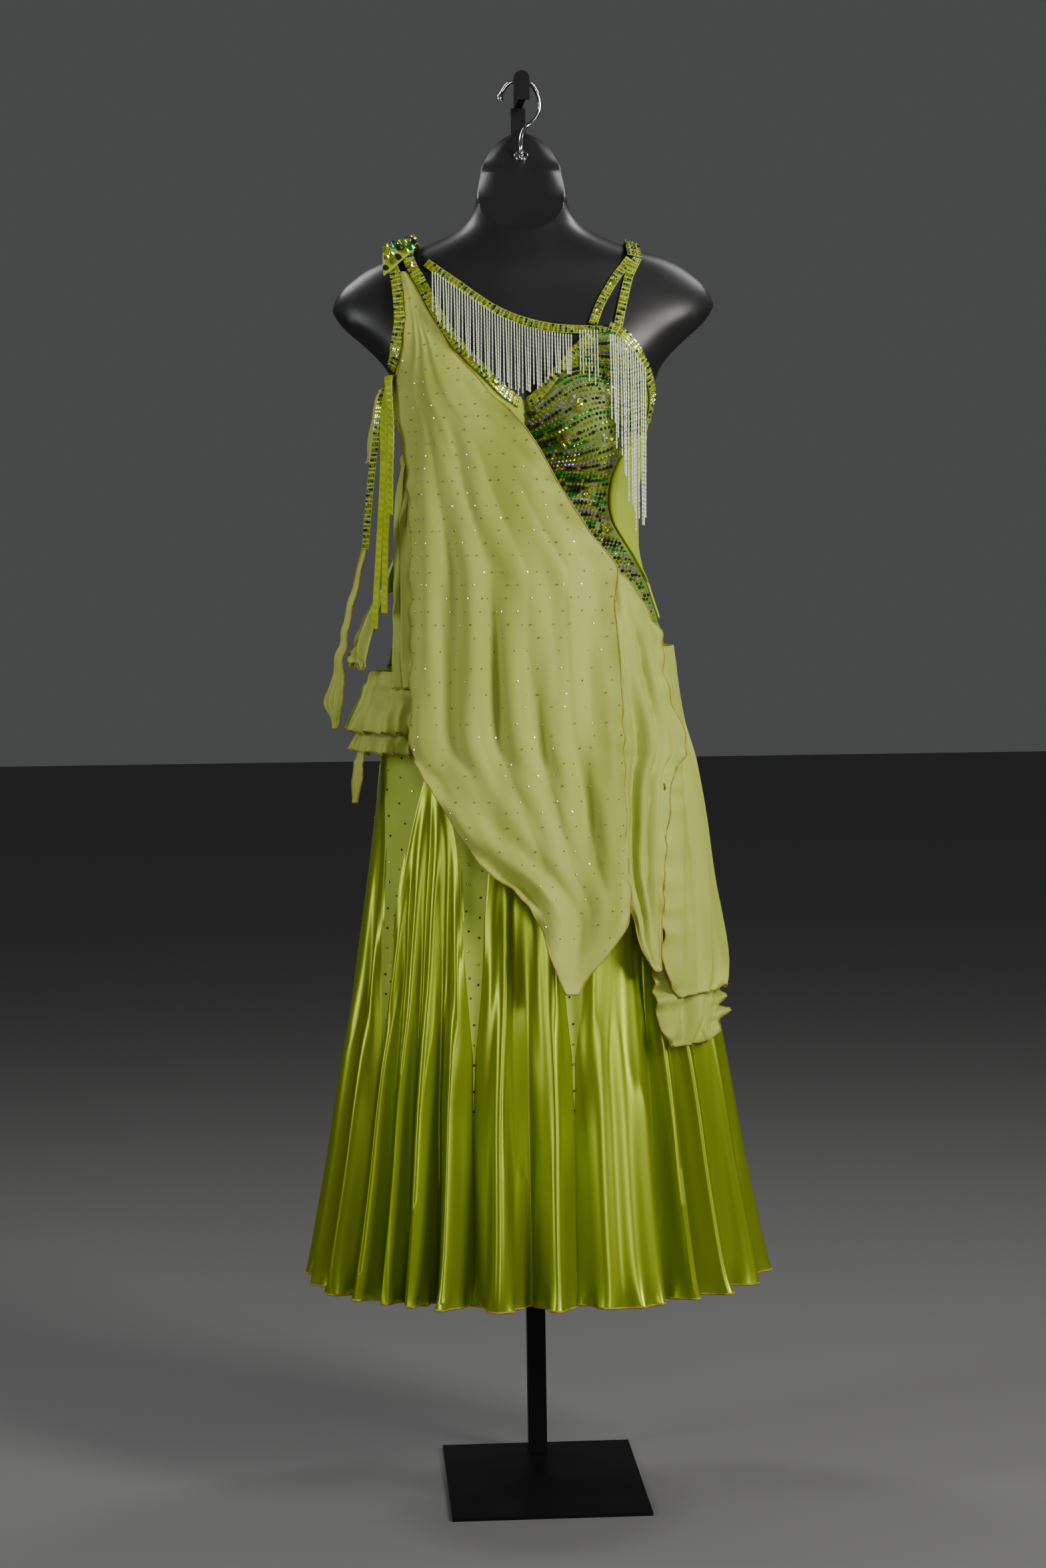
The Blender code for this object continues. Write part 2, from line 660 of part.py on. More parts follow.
def tube(name, path, radii, sides, material):
    """Round rod along a path with a radius at each point, closed at both ends."""
    bm = bmesh.new()
    rings = []
    side = None
    for k, point in enumerate(path):
        point = Vector(point)
        ahead = Vector(path[min(k + 1, len(path) - 1)]) - Vector(path[max(k - 1, 0)])
        ahead.normalize()
        if side is None:
            side = ahead.orthogonal().normalized()
        side = (side - ahead * side.dot(ahead)).normalized()
        up = ahead.cross(side)
        ring = []
        for m in range(sides):
            turn = 2 * math.pi * m / sides
            ring.append(bm.verts.new(point + (side * math.cos(turn) + up * math.sin(turn)) * radii[k]))
        rings.append(ring)
    for low, high in zip(rings, rings[1:]):
        for m in range(sides):
            bm.faces.new((low[m], low[(m + 1) % sides], high[(m + 1) % sides], high[m]))
    bm.faces.new(rings[0])
    bm.faces.new(rings[-1])
    return make_object(name, bm, material)


def box(name, low, high, material):
    """Plain bar between two corners, turned with the stand."""
    bm = bmesh.new()
    bmesh.ops.create_cube(bm, size=1.0)
    size = Vector(high) - Vector(low)
    middle = (Vector(high) + Vector(low)) / 2
    bmesh.ops.scale(bm, vec=size, verts=bm.verts)
    bmesh.ops.translate(bm, vec=middle, verts=bm.verts)
    bmesh.ops.rotate(bm, cent=(0, 0, 0), matrix=Matrix.Rotation(STAND_TURN, 3, "Z"), verts=bm.verts)
    bmesh.ops.translate(bm, vec=(STAND_X, 0, 0), verts=bm.verts)
    return make_object(name, bm, material)


def build_stand(black):
    half = PLATE_WIDTH / 2
    box("base_plate", (-half, PLATE_BACK - PLATE_DEPTH, 0), (half, PLATE_BACK, PLATE_THICK), black)
    side = COLUMN_LOWER / 2
    box("column_lower", (-side, COLUMN_FRONT, PLATE_THICK + GAP),
        (side, COLUMN_FRONT + COLUMN_LOWER, COLUMN_JOIN), black)
    middle = COLUMN_FRONT + COLUMN_LOWER / 2
    half = COLUMN_UPPER / 2
    box("column_upper", (-half, middle - half, COLUMN_JOIN + GAP),
        (half, middle + half, COLUMN_TOP - GAP), black)
    build_arm(middle + half, black)


def build_arm(back, black):
    """Arm from the top of the column to an upturned tongue with a round top."""
    bm = bmesh.new()
    half = TONGUE_WIDTH / 2
    corner = TONGUE_TOP - half
    outline = [(-half, COLUMN_TOP), (-half, corner)]
    outline += [(-half * math.cos(math.radians(turn)), corner + half * math.sin(math.radians(turn)))
                for turn in range(20, 180, 20)]
    outline += [(half, corner), (half, COLUMN_TOP)]
    front = [bm.verts.new((x, TONGUE_Y, z)) for x, z in outline]
    rear = [bm.verts.new((x, TONGUE_Y + TONGUE_THICK, z)) for x, z in outline]
    arm_half = ARM_WIDTH / 2
    root = TONGUE_Y + TONGUE_THICK
    section = [(-arm_half, COLUMN_TOP), (arm_half, COLUMN_TOP), (arm_half, ARM_TOP), (-arm_half, ARM_TOP)]
    near = [bm.verts.new((x, root, z)) for x, z in section]
    far = [bm.verts.new((x, back, z)) for x, z in section]
    bm.faces.new(front)
    count = len(outline)
    for k in range(count - 1):
        bm.faces.new((front[k], front[k + 1], rear[k + 1], rear[k]))
    # The tongue's underside meets the arm's along one line, so its face has the arm's two corners
    bm.faces.new((front[-1], front[0], rear[0], near[0], near[1], rear[-1]))
    bm.faces.new([near[0]] + rear[:count] + [near[1], near[2], near[3]])
    for first, second in ((0, 1), (1, 2), (2, 3), (3, 0)):
        bm.faces.new((near[first], near[second], far[second], far[first]))
    bm.faces.new(far)
    bmesh.ops.rotate(bm, cent=(0, 0, 0), matrix=Matrix.Rotation(STAND_TURN, 3, "Z"), verts=bm.verts)
    bmesh.ops.translate(bm, vec=(STAND_X, 0, 0), verts=bm.verts)
    bmesh.ops.triangulate(bm, faces=bm.faces)
    make_object("hanger_arm", bm, black)


def build_hook(chrome):
    """Open hook with a ball tip, over the arm, and the washer where it enters the neck."""
    crown = ARM_TOP + 3 * GAP + HOOK_RADIUS
    # Each turn: across from the shank, depth, height
    turns = (
        (0.0, 0.0376, 1.5624), (0.0, 0.0336, 1.5663), (0.0, 0.0372, 1.5780),
        (0.0020, 0.0470, 1.5890), (0.0065, 0.0530, 1.5965),
        (0.0145, HOOK_Y, 1.6025), (0.0217, HOOK_Y, 1.6130), (0.0220, HOOK_Y, 1.6290),
        (0.0135, HOOK_Y, 1.6455), (0.0005, HOOK_Y, crown), (-0.0135, HOOK_Y, 1.6470),
        (-0.0225, HOOK_Y, 1.6345),
    )
    turns = [(HOOK_X + across, depth, height) for across, depth, height in turns]
    path = smooth_path(turns, 26)
    path.append(path[-1] + np.array((-0.0008, 0.0, -0.0020)))
    path.append(path[-1] + np.array((-0.0006, 0.0, -0.0040)))
    path.append(path[-1] + np.array((-0.0004, 0.0, -0.0032)))
    radii = [HOOK_RADIUS] * 26 + [HOOK_BALL * 0.85, HOOK_BALL, HOOK_BALL * 0.45]
    tube("hook", path, radii, 8, chrome)
    axis = Vector((0.0, *NECK_SLOPE)).normalized()
    run = HOOK_HOLE - NECK_POINT[0]
    seat = Vector((HOOK_X, HOOK_HOLE, NECK_POINT[1] - NECK_SLOPE[0] / NECK_SLOPE[1] * run))
    low = seat + axis * GAP
    high = seat + axis * ((Vector(turns[0]) - seat).dot(axis) - GAP)
    tube("hook_washer", [low, high], [0.0085, 0.0080], 14, chrome)


def build_form(black):
    """Limbless torso: rings up the body, the arm stubs and the neck, with a slanted cut at the neck."""
    heights = spread(0.864, 1.120, 6) + spread(1.148, 1.280, 8) + [1.295, 1.304, 1.312, 1.326, 1.345]
    heights += [1.362, 1.380, 1.400, 1.420, 1.435, 1.446, 1.4565, 1.467, 1.480, 1.500, 1.545, 1.605]
    bm = bmesh.new()
    rings = []
    for height in heights:
        ring = []
        for k in range(FORM_SIDES):
            angle = 360.0 * k / FORM_SIDES - 180.0
            point = ring_point(BODY_ROWS, angle, height, "body")
            normal = ring_normal(BODY_ROWS, angle, height, "body")
            point = point - normal * form_inset(height)
            point.z = height
            ring.append(bm.verts.new(point))
        rings.append(ring)
    for low, high in zip(rings, rings[1:]):
        for k in range(FORM_SIDES):
            after = (k + 1) % FORM_SIDES
            bm.faces.new((low[k], low[after], high[after], high[k]))
    bm.faces.new(rings[0])
    bm.faces.new(rings[-1])
    bmesh.ops.recalc_face_normals(bm, faces=bm.faces)
    everything = bm.verts[:] + bm.edges[:] + bm.faces[:]
    made = bmesh.ops.bisect_plane(bm, geom=everything, dist=0.00001, plane_co=(0.0, *NECK_POINT),
                                  plane_no=(0.0, *NECK_SLOPE), clear_outer=True)
    rim = [part for part in made["geom_cut"] if isinstance(part, bmesh.types.BMEdge)]
    bmesh.ops.contextual_create(bm, geom=rim)
    bmesh.ops.triangulate(bm, faces=bm.faces)
    make_object("form_torso", bm, black)


def front_edges(rows, low_angle=None, high_angle=None):
    """Edges of a front panel from its outline table, or a fixed angle in place of one edge."""
    def edges(height):
        left = low_angle
        right = high_angle
        if left is None:
            left = ring_angle(BODY_ROWS, straight_value(rows, 1, height), height)
        if right is None:
            right = ring_angle(BODY_ROWS, straight_value(rows, 2, height), height)
        return left, right
    return edges


def bodice_spot(angle, height):
    return body_spot(angle, height, 0.0)


def build_bodice(stoned, plain, lime):
    seam = math.degrees(GAP / 0.15)
    outline = front_edges(FRONT_LEFT_ROWS)

    def left_edges(height):
        left, right = outline(height)
        if height < 1.2699:
            right = ring_angle(BODY_ROWS, -0.00015, height)
        if height < BACK_TOP_SIDE + 0.001:
            left = -SIDE_SEAM
        return left, right

    heights = list(SEAM_HEIGHTS) + [row[0] for row in FRONT_LEFT_ROWS]
    layer("bodice_front_left", heights, left_edges, bodice_spot, 12, WALL, stoned)
    outline_right = front_edges(FRONT_RIGHT_ROWS)

    def right_edges(height):
        left, right = outline_right(height)
        if height < 1.2701:
            left = ring_angle(BODY_ROWS, 0.00015, height)
        if height < 1.0149:
            right = SIDE_SEAM - seam
        return left, right

    heights = [HIP_SEAM + GAP, 0.990, 1.0140] + [row[0] for row in FRONT_RIGHT_ROWS]
    layer("bodice_front_right", heights, right_edges, bodice_spot, 10, WALL, stoned)

    def side_edges(height):
        piping = ring_angle(BODY_ROWS, straight_value(FRONT_RIGHT_ROWS, 2, height) + 0.0012, height)
        return min(piping, SIDE_SEAM - 1.5), SIDE_SEAM - seam

    heights = [SIDE_PANEL_BOTTOM] + [row[0] for row in FRONT_RIGHT_ROWS if 1.0300 < row[0] < 1.2300]
    layer("side_panel_right", heights + [SIDE_PANEL_TOP], side_edges, bodice_spot, 6, WALL, plain)
    spots = front_spots(PIPING_PATH, 22, WALL + LAYER_GAP + PIPING_RADIUS)
    tube("piping_right", [point for point, normal in spots], [PIPING_RADIUS] * 22, 6, lime)
    build_back("bodice_back_left", -SIDE_SEAM - seam, -179.9, plain)
    build_back("bodice_back_right", SIDE_SEAM, 179.9, plain)


def back_top(angle):
    """Height of the back's top edge, a soft scoop between the shoulder bands."""
    return BACK_TOP_MIDDLE + (BACK_TOP_SIDE - BACK_TOP_MIDDLE) * (1 - ease_step(150.0, 180.0, abs(angle)))


def build_back(name, first, last, material):
    outer = []
    inner = []
    for mark in SEAM_HEIGHTS:
        share = (mark - SEAM_HEIGHTS[0]) / (BACK_TOP_SIDE - SEAM_HEIGHTS[0])
        row_out = []
        row_in = []
        for angle in spread(first, last, 8):
            low = SEAM_HEIGHTS[0]
            height = low + (back_top(angle) - low) * share
            point, normal = body_spot(angle, height, 0.0)
            row_in.append(point)
            row_out.append(point + normal * WALL)
        outer.append(row_out)
        inner.append(row_in)
    wall(name, outer, inner, material)


def build_bands(stones):
    lift = WALL + LAYER_GAP
    left_top = spread(-50.0, -130.0, 11)
    neck_lift = WALL + 0.0017
    neck = front_spots(NECK_LEFT_PATH, 16, neck_lift)
    neck += over_shoulder(-0.1290, -0.1210, left_top, neck_lift)
    neck += back_spots(NECK_LEFT_BACK, 7, SHOULDER_LIFT)
    ribbon("band_neck_left", neck, BAND_WIDTH, BAND_WALL, stones, neck_lift)
    arm = front_spots(ARMHOLE_LEFT_PATH, 10, lift)
    arm += over_shoulder(-0.1500, -0.1440, left_top[1:], lift)
    arm += back_spots(ARMHOLE_LEFT_BACK, 7, SHOULDER_LIFT)
    ribbon("band_armhole_left", arm, BAND_WIDTH, BAND_WALL, stones, lift)
    right = front_spots(NECK_RIGHT_PATH, 9, neck_lift)
    ribbon("band_neck_right", right, BAND_WIDTH, BAND_WALL, stones, neck_lift)
    right = front_spots(ARMHOLE_RIGHT_PATH, 14, lift)
    ribbon("band_armhole_right", right, BAND_WIDTH, BAND_WALL, stones, lift)
    spots = front_spots(NECKLACE_PATH, 18, BARE_LIFT)
    ribbon("necklace_band", spots, STRAP_WIDTH, BAND_WALL, stones, BARE_LIFT)
    spots = front_spots(STRAP_INNER_PATH, 8, BARE_LIFT)
    ribbon("strap_inner", spots, STRAP_WIDTH, BAND_WALL, stones, BARE_LIFT)
    spots = front_spots(STRAP_OUTER_PATH, 8, BARE_LIFT)
    ribbon("strap_outer", spots, STRAP_WIDTH, BAND_WALL, stones, BARE_LIFT)
    rear = over_shoulder(0.1270, 0.1230, spread(52.0, 130.0, 11), SHOULDER_LIFT)
    rear += back_spots(STRAP_RIGHT_BACK, 7, SHOULDER_LIFT)
    ribbon("strap_back_right", rear, BAND_WIDTH * 1.3, BAND_WALL, stones)
    build_ornament(neck_lift + BAND_WALL + ORNAMENT_CLEAR, stones)


def build_ornament(lift, stones):
    """Cluster plate over the left shoulder, on both bands."""
    outer = []
    inner = []
    for angle in spread(-48.0, -112.0, 9):
        spots = [body_spot(angle, shoulder_height(across, angle), lift)
                 for across in spread(-0.1555, -0.1210, 5)]
        inner.append([point for point, normal in spots])
        outer.append([point + normal * ORNAMENT_THICK for point, normal in spots])
    wall("shoulder_ornament_left", outer, inner, stones)


def build_fringe(name, rows, count, segments, lift, material, low_clear=0.0):
    """Strands fused to a narrow strip along their roots. Columns run from left to right."""
    pitch = (rows[-1][0] - rows[0][0]) / (count - 0.5)
    bm = bmesh.new()

    def place(across, height, out, along=None):
        if along is None:
            point, normal = body_spot(ring_angle(BODY_ROWS, across, height), height, 0.0)
            along = point.y - lift / max(-normal.y, 0.35)
        return Vector((across, along - out, height))

    columns = []
    for k in range(count):
        left = rows[0][0] + pitch * k
        for across in (left, left + STRAND_WIDTH):
            root = straight_value(rows, 1, across)
            columns.append([bm.verts.new(place(across, root + STRIP_HEIGHT, STRAND_DEPTH)),
                            bm.verts.new(place(across, root, STRAND_DEPTH)),
                            bm.verts.new(place(across, root, 0.0)),
                            bm.verts.new(place(across, root + STRIP_HEIGHT, 0.0))])
    for k, (left, right) in enumerate(zip(columns, columns[1:])):
        for first, second in ((0, 1), (2, 3), (3, 0)):
            bm.faces.new((left[first], left[second], right[second], right[first]))
        if k % 2 == 1:
            bm.faces.new((left[1], left[2], right[2], right[1]))
    bm.faces.new(columns[0])
    bm.faces.new(columns[-1])
    for k in range(count):
        left, right = columns[2 * k], columns[2 * k + 1]
        ring = [left[1], right[1], right[2], left[2]]
        middle = (left[1].co.x + right[1].co.x) / 2
        end = straight_value(rows, 2, middle)
        front = left[2].co.y
        top = left[2].co.z
        for step in range(1, segments + 1):
            height = top + (end - top) * (step / segments) ** 1.4
            clear = STRAND_CLEAR if step == 1 else STRAND_CLEAR * 2.2
            front = min(front, place(middle, height, clear + low_clear).y)
            points = [place(ring[0].co.x, height, STRAND_DEPTH, front),
                      place(ring[1].co.x, height, STRAND_DEPTH, front),
                      place(ring[1].co.x, height, 0.0, front),
                      place(ring[0].co.x, height, 0.0, front)]
            lower = [bm.verts.new(point) for point in points]
            for m in range(4):
                bm.faces.new((ring[m], ring[(m + 1) % 4], lower[(m + 1) % 4], lower[m]))
            ring = lower
        bm.faces.new(ring)
    bmesh.ops.triangulate(bm, faces=bm.faces)
    return make_object(name, bm, material)


def drape_spot(rows, fold, pitch, shift, lift):
    """Spot on a hanging ring with soft folds of a given depth and pitch across."""
    def spot(angle, height):
        point, normal = ring_spot(rows, angle, height, "plain", lift)
        wave = math.sin(2 * math.pi * (point.x + shift * (1.4 - height)) / pitch)
        return point + normal * fold * wave, normal
    return spot


def float_spot(angle, height):
    """The front float lies on the bodice at the top and hangs clear of the hips below."""
    across = ring_point(HANG_ROWS, angle, height, "plain").x
    body_angle = ring_angle(BODY_ROWS, across, height)
    body, normal = body_spot(body_angle, height, FLOAT_LIFT)
    if height > 1.290:
        return body, normal
    hang, hang_normal = ring_spot(HANG_ROWS, angle, height, "plain", 0.0)
    fold = straight_value(FLOAT_ROWS, 3, height)
    wave = math.sin(2 * math.pi * (across + 0.010 + 0.05 * (1.2 - height)) / 0.052)
    hang = hang + hang_normal * (fold * wave + 0.0045)
    share = ease_step(0.0, 1.0, (1.290 - height) / 0.030)
    free = hang if hang.y < body.y else body
    return body.lerp(free, share), normal.lerp(hang_normal, share).normalized()


def table_edges(rows, surface):
    """Left and right angles of a hanging panel. A value of more than 1 is an angle already."""
    def edges(height):
        ends = []
        for column in (1, 2):
            value = straight_value(rows, column, height)
            if abs(value) > 1.0:
                ends.append(value)
            else:
                ends.append(ring_angle(surface, value, height))
        return ends[0], ends[1]
    return edges


def float_edges(height):
    if height > 1.290:
        return front_edges(FLOAT_ROWS)(height)
    return table_edges(FLOAT_ROWS, HANG_ROWS)(height)


def float_spot_any(angle, height):
    """Above the arms the float's angles are those of the torso rings."""
    if height > 1.290:
        return body_spot(angle, height, FLOAT_LIFT)
    return float_spot(angle, height)


def row_heights(rows, parts):
    """Heights of the rows with even steps between them."""
    heights = sorted(row[0] for row in rows)
    fine = [heights[0]]
    for low, high in zip(heights, heights[1:]):
        fine += spread(low, high, parts + 1)[1:]
    return fine


def slab(name, rows, columns, curl, thick, material, seat=None):
    """Hanging strip between an outer and an inner edge, curled forward in the middle. A seat is a
    row of points and normals on what carries its top."""
    outer = []
    inner = []
    if seat is not None:
        inner.append([point for point, normal in seat])
        outer.append([point + normal * thick for point, normal in seat])
    for height, first_x, last_x, first_y, last_y in rows:
        line = []
        for k, share in enumerate(spread(0.0, 1.0, columns)):
            bulge = curl * math.sin(math.pi * share) * abs(last_x - first_x)
            line.append(Vector((first_x + (last_x - first_x) * share,
                                first_y + (last_y - first_y) * share - bulge, height)))
        across = (line[-1] - line[0]).normalized()
        normal = across.cross(Vector((0, 0, 1))).normalized()
        inner.append(line)
        outer.append([point + normal * thick for point in line])
    return wall(name, outer, inner, material)


def armhole_seat(lift):
    """Row just under the end of the left armhole band, where the hanging straps are sewn on."""
    return [body_spot(ring_angle(BODY_ROWS, across, ARMHOLE_END), ARMHOLE_END, lift)
            for across in (-0.1500, -0.1465, -0.1430)]


def seated(spot, edge, span, top, drop):
    """Bring a hanging layer in to the bodice or the skirt at the top of its hidden edge."""
    def inner(angle, height):
        point, normal = spot(angle, height)
        share = max(ease_step(0.0, span, abs(angle - edge)), ease_step(0.0, drop, top - height))
        if share >= 1.0:
            return point, normal
        if height > HIP_SEAM:
            ground, ground_normal = body_spot(angle, height, WALL + LAYER_GAP)
        else:
            ground, ground_normal = ring_spot(SKIRT_ROWS, angle, height, "skirt", WALL / 2 + SEAT_GAP)
        return ground.lerp(point, share), ground_normal.lerp(normal, share).normalized()
    return inner


def laid(spot, top, drop, shrink):
    """Lay the top of a hanging layer on the bodice, under what hides it."""
    def inner(angle, height):
        point, normal = spot(angle, height)
        share = ease_step(0.0, drop, top - height)
        ground_angle = ring_angle(BODY_ROWS, point.x * shrink, height)
        ground, ground_normal = body_spot(ground_angle, height, WALL + LAYER_GAP)
        return ground.lerp(point, share), ground_normal.lerp(normal, share).normalized()
    return inner


def flared(rows, fold, pitch, top, low, first_lift, last_lift):
    """Hanging ring whose lift grows from its top to its lower edge."""
    def spot(angle, height):
        share = (top - height) / (top - low)
        lift = first_lift + (last_lift - first_lift) * share
        return drape_spot(rows, fold * share, pitch, 0.0, lift)(angle, height)
    return spot


def build_floats(chiffon):
    heights = sorted(row[0] for row in FLOAT_ROWS)
    layer("float_front", heights, float_edges, float_spot_any, 14, CHIFFON, chiffon)
    under = laid(drape_spot(HANG_ROWS, 0.0015, 0.03, 0.0, -0.008), FLOAT_UNDER_ROWS[0][0], 0.060, 0.93)
    layer("float_front_under", sorted(row[0] for row in FLOAT_UNDER_ROWS),
          table_edges(FLOAT_UNDER_ROWS, HANG_ROWS), under, 5, CHIFFON, chiffon)
    hip_front = laid(drape_spot(HANG_ROWS, 0.003, 0.040, 0.06, -0.006), HIP_FRONT_ROWS[0][0], 0.060, 1.0)
    layer("hip_float_front", sorted(row[0] for row in HIP_FRONT_ROWS),
          table_edges(HIP_FRONT_ROWS, HANG_ROWS), hip_front, 10, CHIFFON, chiffon)
    side_edges = table_edges(HIP_SIDE_ROWS, HANG_ROWS)
    side = seated(drape_spot(HANG_ROWS, 0.003, 0.036, 0.05, -0.0135), 110.0, 8.0, 0.990, 0.100)
    layer("hip_float_side", sorted(row[0] for row in HIP_SIDE_ROWS), side_edges, side, 13, CHIFFON, chiffon)
    low_edges = table_edges(CASCADE_ROWS, HANG_ROWS)
    low = seated(drape_spot(HANG_ROWS, 0.004, 0.030, 0.0, -0.025), 88.0, 5.0, 0.635, 0.030)
    layer("cascade_right", sorted(row[0] for row in CASCADE_ROWS), low_edges, low, 12, CHIFFON, chiffon)
    for name, rows, columns, flare in (
        ("hip_float_left", HIP_LEFT_ROWS, 9, (0.003, 0.034, 1.100, 0.969, -0.034, -0.003)),
        ("ruffle_left_upper", RUFFLE_UPPER_ROWS, 12, (0.003, 0.026, 0.966, 0.895, -0.026, -0.004)),
        ("ruffle_left_lower", RUFFLE_LOWER_ROWS, 12, (0.003, 0.024, 0.926, 0.870, -0.031, -0.006)),
    ):
        edges = table_edges(rows, LEFT_ROWS)
        spot = seated(flared(LEFT_ROWS, *flare), rows[0][2], 8.0, rows[0][0], 0.040)
        layer(name, row_heights(rows, 1), edges, spot, columns, CHIFFON, chiffon)
    slab("tail_float_left", TAIL_ROWS, 4, 0.20, CHIFFON, chiffon)
    low = RUFFLE_LOWER_ROWS[-1][0] - LAYER_GAP
    seat = [ring_spot(LEFT_ROWS, angle, low, "plain", -0.006) for angle in (-76.0, -72.0, -68.0)]
    slab("small_tail_left", SMALL_TAIL_ROWS, 3, 0.10, CHIFFON, chiffon, seat)
    slab("back_drape_left", BACK_DRAPE_ROWS, 4, 0.15, CHIFFON, chiffon)


def gore_reach(side, index):
    """Full half pitch of a gore towards one side, in degrees."""
    count = len(GORE_ANGLES)
    here = GORE_ANGLES[index]
    other = GORE_ANGLES[(index + side) % count]
    pitch = (other - here) * side
    return (pitch % 360.0) / 2


def gore_edge(index, side, height):
    share = straight_value(GORE_SHARE, 1, height)
    if height < GORE_SHARE[0][0] - 0.0001:
        share = 0.0
    return GORE_ANGLES[index] + side * gore_reach(side, index) * share


def skirt_spot(angle, height):
    point, normal = ring_spot(SKIRT_ROWS, angle, height, "skirt", -WALL / 2)
    return point, normal


def seam_angle(height):
    """Half of a seam's gap, as an angle at this height."""
    return math.degrees(GAP * 0.9 / smooth_value(SKIRT_ROWS, 2, height))


def build_skirt(jersey, satin):
    count = len(GORE_ANGLES)
    for index in range(count):
        def gore_edges(height, index=index):
            gap = seam_angle(height)
            return gore_edge(index, -1, height) + gap, gore_edge(index, 1, height) - gap

        heights = [height if height < HIP_SEAM else height - GAP for height in GORE_HEIGHTS]
        layer(f"skirt_gore_{index + 1}", heights, gore_edges, skirt_spot, 5, WALL, jersey)
        after = (index + 1) % count
        turn = 360.0 if after == 0 else 0.0
        build_godet(index, after, turn, satin)


def build_godet(index, after, turn, satin):
    """Godet between two gores, with columns on the ridges, hollows and flanks of its flutes."""
    first = GORE_ANGLES[index]
    last = GORE_ANGLES[after] + turn
    marks = sorted(row[0] + shift for row in FLUTES for shift in (0.0, 360.0))
    inside = [first] + [mark for mark in marks if first + 1.0 < mark < last - 1.0] + [last]
    shares = [0.0]
    for low, high in zip(inside, inside[1:]):
        shares += [((low + high) / 2 - first) / (last - first), (high - first) / (last - first)]
    outer = []
    inner = []
    for height in SKIRT_HEIGHTS:
        gap = seam_angle(height)
        left = gore_edge(index, 1, height) + gap
        right = gore_edge(after, -1, height) + turn - gap
        spots = [skirt_spot(left + (right - left) * share, height) for share in shares]
        inner.append([point for point, normal in spots])
        outer.append([point + normal * WALL for point, normal in spots])
    wall(f"skirt_godet_{index + 1}", outer, inner, satin)


def main():
    for piece in list(bpy.data.objects):
        bpy.data.objects.remove(piece)
    black = make_material("black_stand", (0.012, 0.012, 0.013), 0.38, 0.0)
    form_black = make_material("form_plastic", (0.016, 0.015, 0.016), 0.42, 0.0)
    chrome = make_material("hook_chrome", (0.75, 0.75, 0.74), 0.12, 1.0)
    stoned = make_material("stoned_jersey", (0.33, 0.42, 0.16), 0.60, 0.0)
    plain = make_material("green_jersey", (0.30, 0.43, 0.16), 0.66, 0.0)
    lime = make_material("lime_piping", (0.42, 0.62, 0.05), 0.40, 0.0)
    stones = make_material("stone_band", (0.30, 0.27, 0.12), 0.30, 0.0)
    pearl = make_material("pearl_beads", (0.66, 0.70, 0.56), 0.25, 0.0)
    chiffon = make_material("green_chiffon", (0.46, 0.60, 0.28), 0.70, 0.0)
    satin = make_material("lime_satin", (0.33, 0.55, 0.07), 0.35, 0.0)
    build_stand(black)
    build_hook(chrome)
    build_form(form_black)
    build_bodice(stoned, plain, lime)
    build_bands(stones)
    lift = WALL + LAYER_GAP + BAND_WALL
    build_fringe("fringe_front", FRONT_FRINGE, FRONT_STRANDS, 3, BARE_LIFT + 0.0006, pearl, FRONT_CLEAR)
    build_fringe("fringe_side", SIDE_FRINGE, SIDE_STRANDS, 5, lift, pearl)
    build_floats(chiffon)
    lift = WALL + LAYER_GAP
    slab("edge_strap_left", EDGE_STRAP_ROWS, 3, 0.0, BAND_WALL, stones, armhole_seat(lift))
    lift += BAND_WALL + LAYER_GAP
    for name, rows in STRIPS:
        slab(name, rows, 3, 0.0, CHIFFON, lime, armhole_seat(lift))
        lift += CHIFFON + LAYER_GAP
    build_skirt(plain, satin)


main()
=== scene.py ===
import math
import bpy
import bmesh
import numpy as np
from mathutils import Matrix, Vector
from mathutils.bvhtree import BVHTree


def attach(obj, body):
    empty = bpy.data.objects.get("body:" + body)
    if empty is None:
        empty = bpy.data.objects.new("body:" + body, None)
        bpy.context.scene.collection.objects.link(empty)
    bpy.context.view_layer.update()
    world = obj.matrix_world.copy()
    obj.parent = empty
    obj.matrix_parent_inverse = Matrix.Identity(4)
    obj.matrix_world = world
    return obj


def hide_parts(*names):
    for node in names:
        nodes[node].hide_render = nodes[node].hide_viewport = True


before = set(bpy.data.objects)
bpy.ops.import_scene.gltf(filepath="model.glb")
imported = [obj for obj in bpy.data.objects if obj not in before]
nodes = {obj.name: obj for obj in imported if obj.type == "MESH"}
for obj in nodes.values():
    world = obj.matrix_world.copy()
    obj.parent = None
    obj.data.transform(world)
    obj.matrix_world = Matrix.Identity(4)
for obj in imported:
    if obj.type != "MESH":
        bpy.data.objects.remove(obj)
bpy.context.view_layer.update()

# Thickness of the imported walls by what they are
walls = {"cloth": 0.0015, "band": 0.0018, "chiffon": 0.0011, "cluster": 0.0030}
# How far an edge may be from a wall's thickness, tried in this order
tolerances = (0.000002, 0.000001, 0.000004, 0.00001, 0.00003, 0.00005)


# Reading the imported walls

def weldedMesh(node):
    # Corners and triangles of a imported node, with the corners that triangles share joined.
    mesh = nodes[node].data
    places = {}
    corners = []
    links = []
    for vertex in mesh.vertices:
        key = tuple(round(value, 6) for value in vertex.co)
        if key not in places:
            places[key] = len(corners)
            corners.append(vertex.co.copy())
        links.append(places[key])
    faces = [tuple(links[k] for k in face.vertices) for face in mesh.polygons]
    return corners, [face for face in faces if len(set(face)) == 3]


def edgePairs(face):
    return zip(face, face[1:] + face[:1])


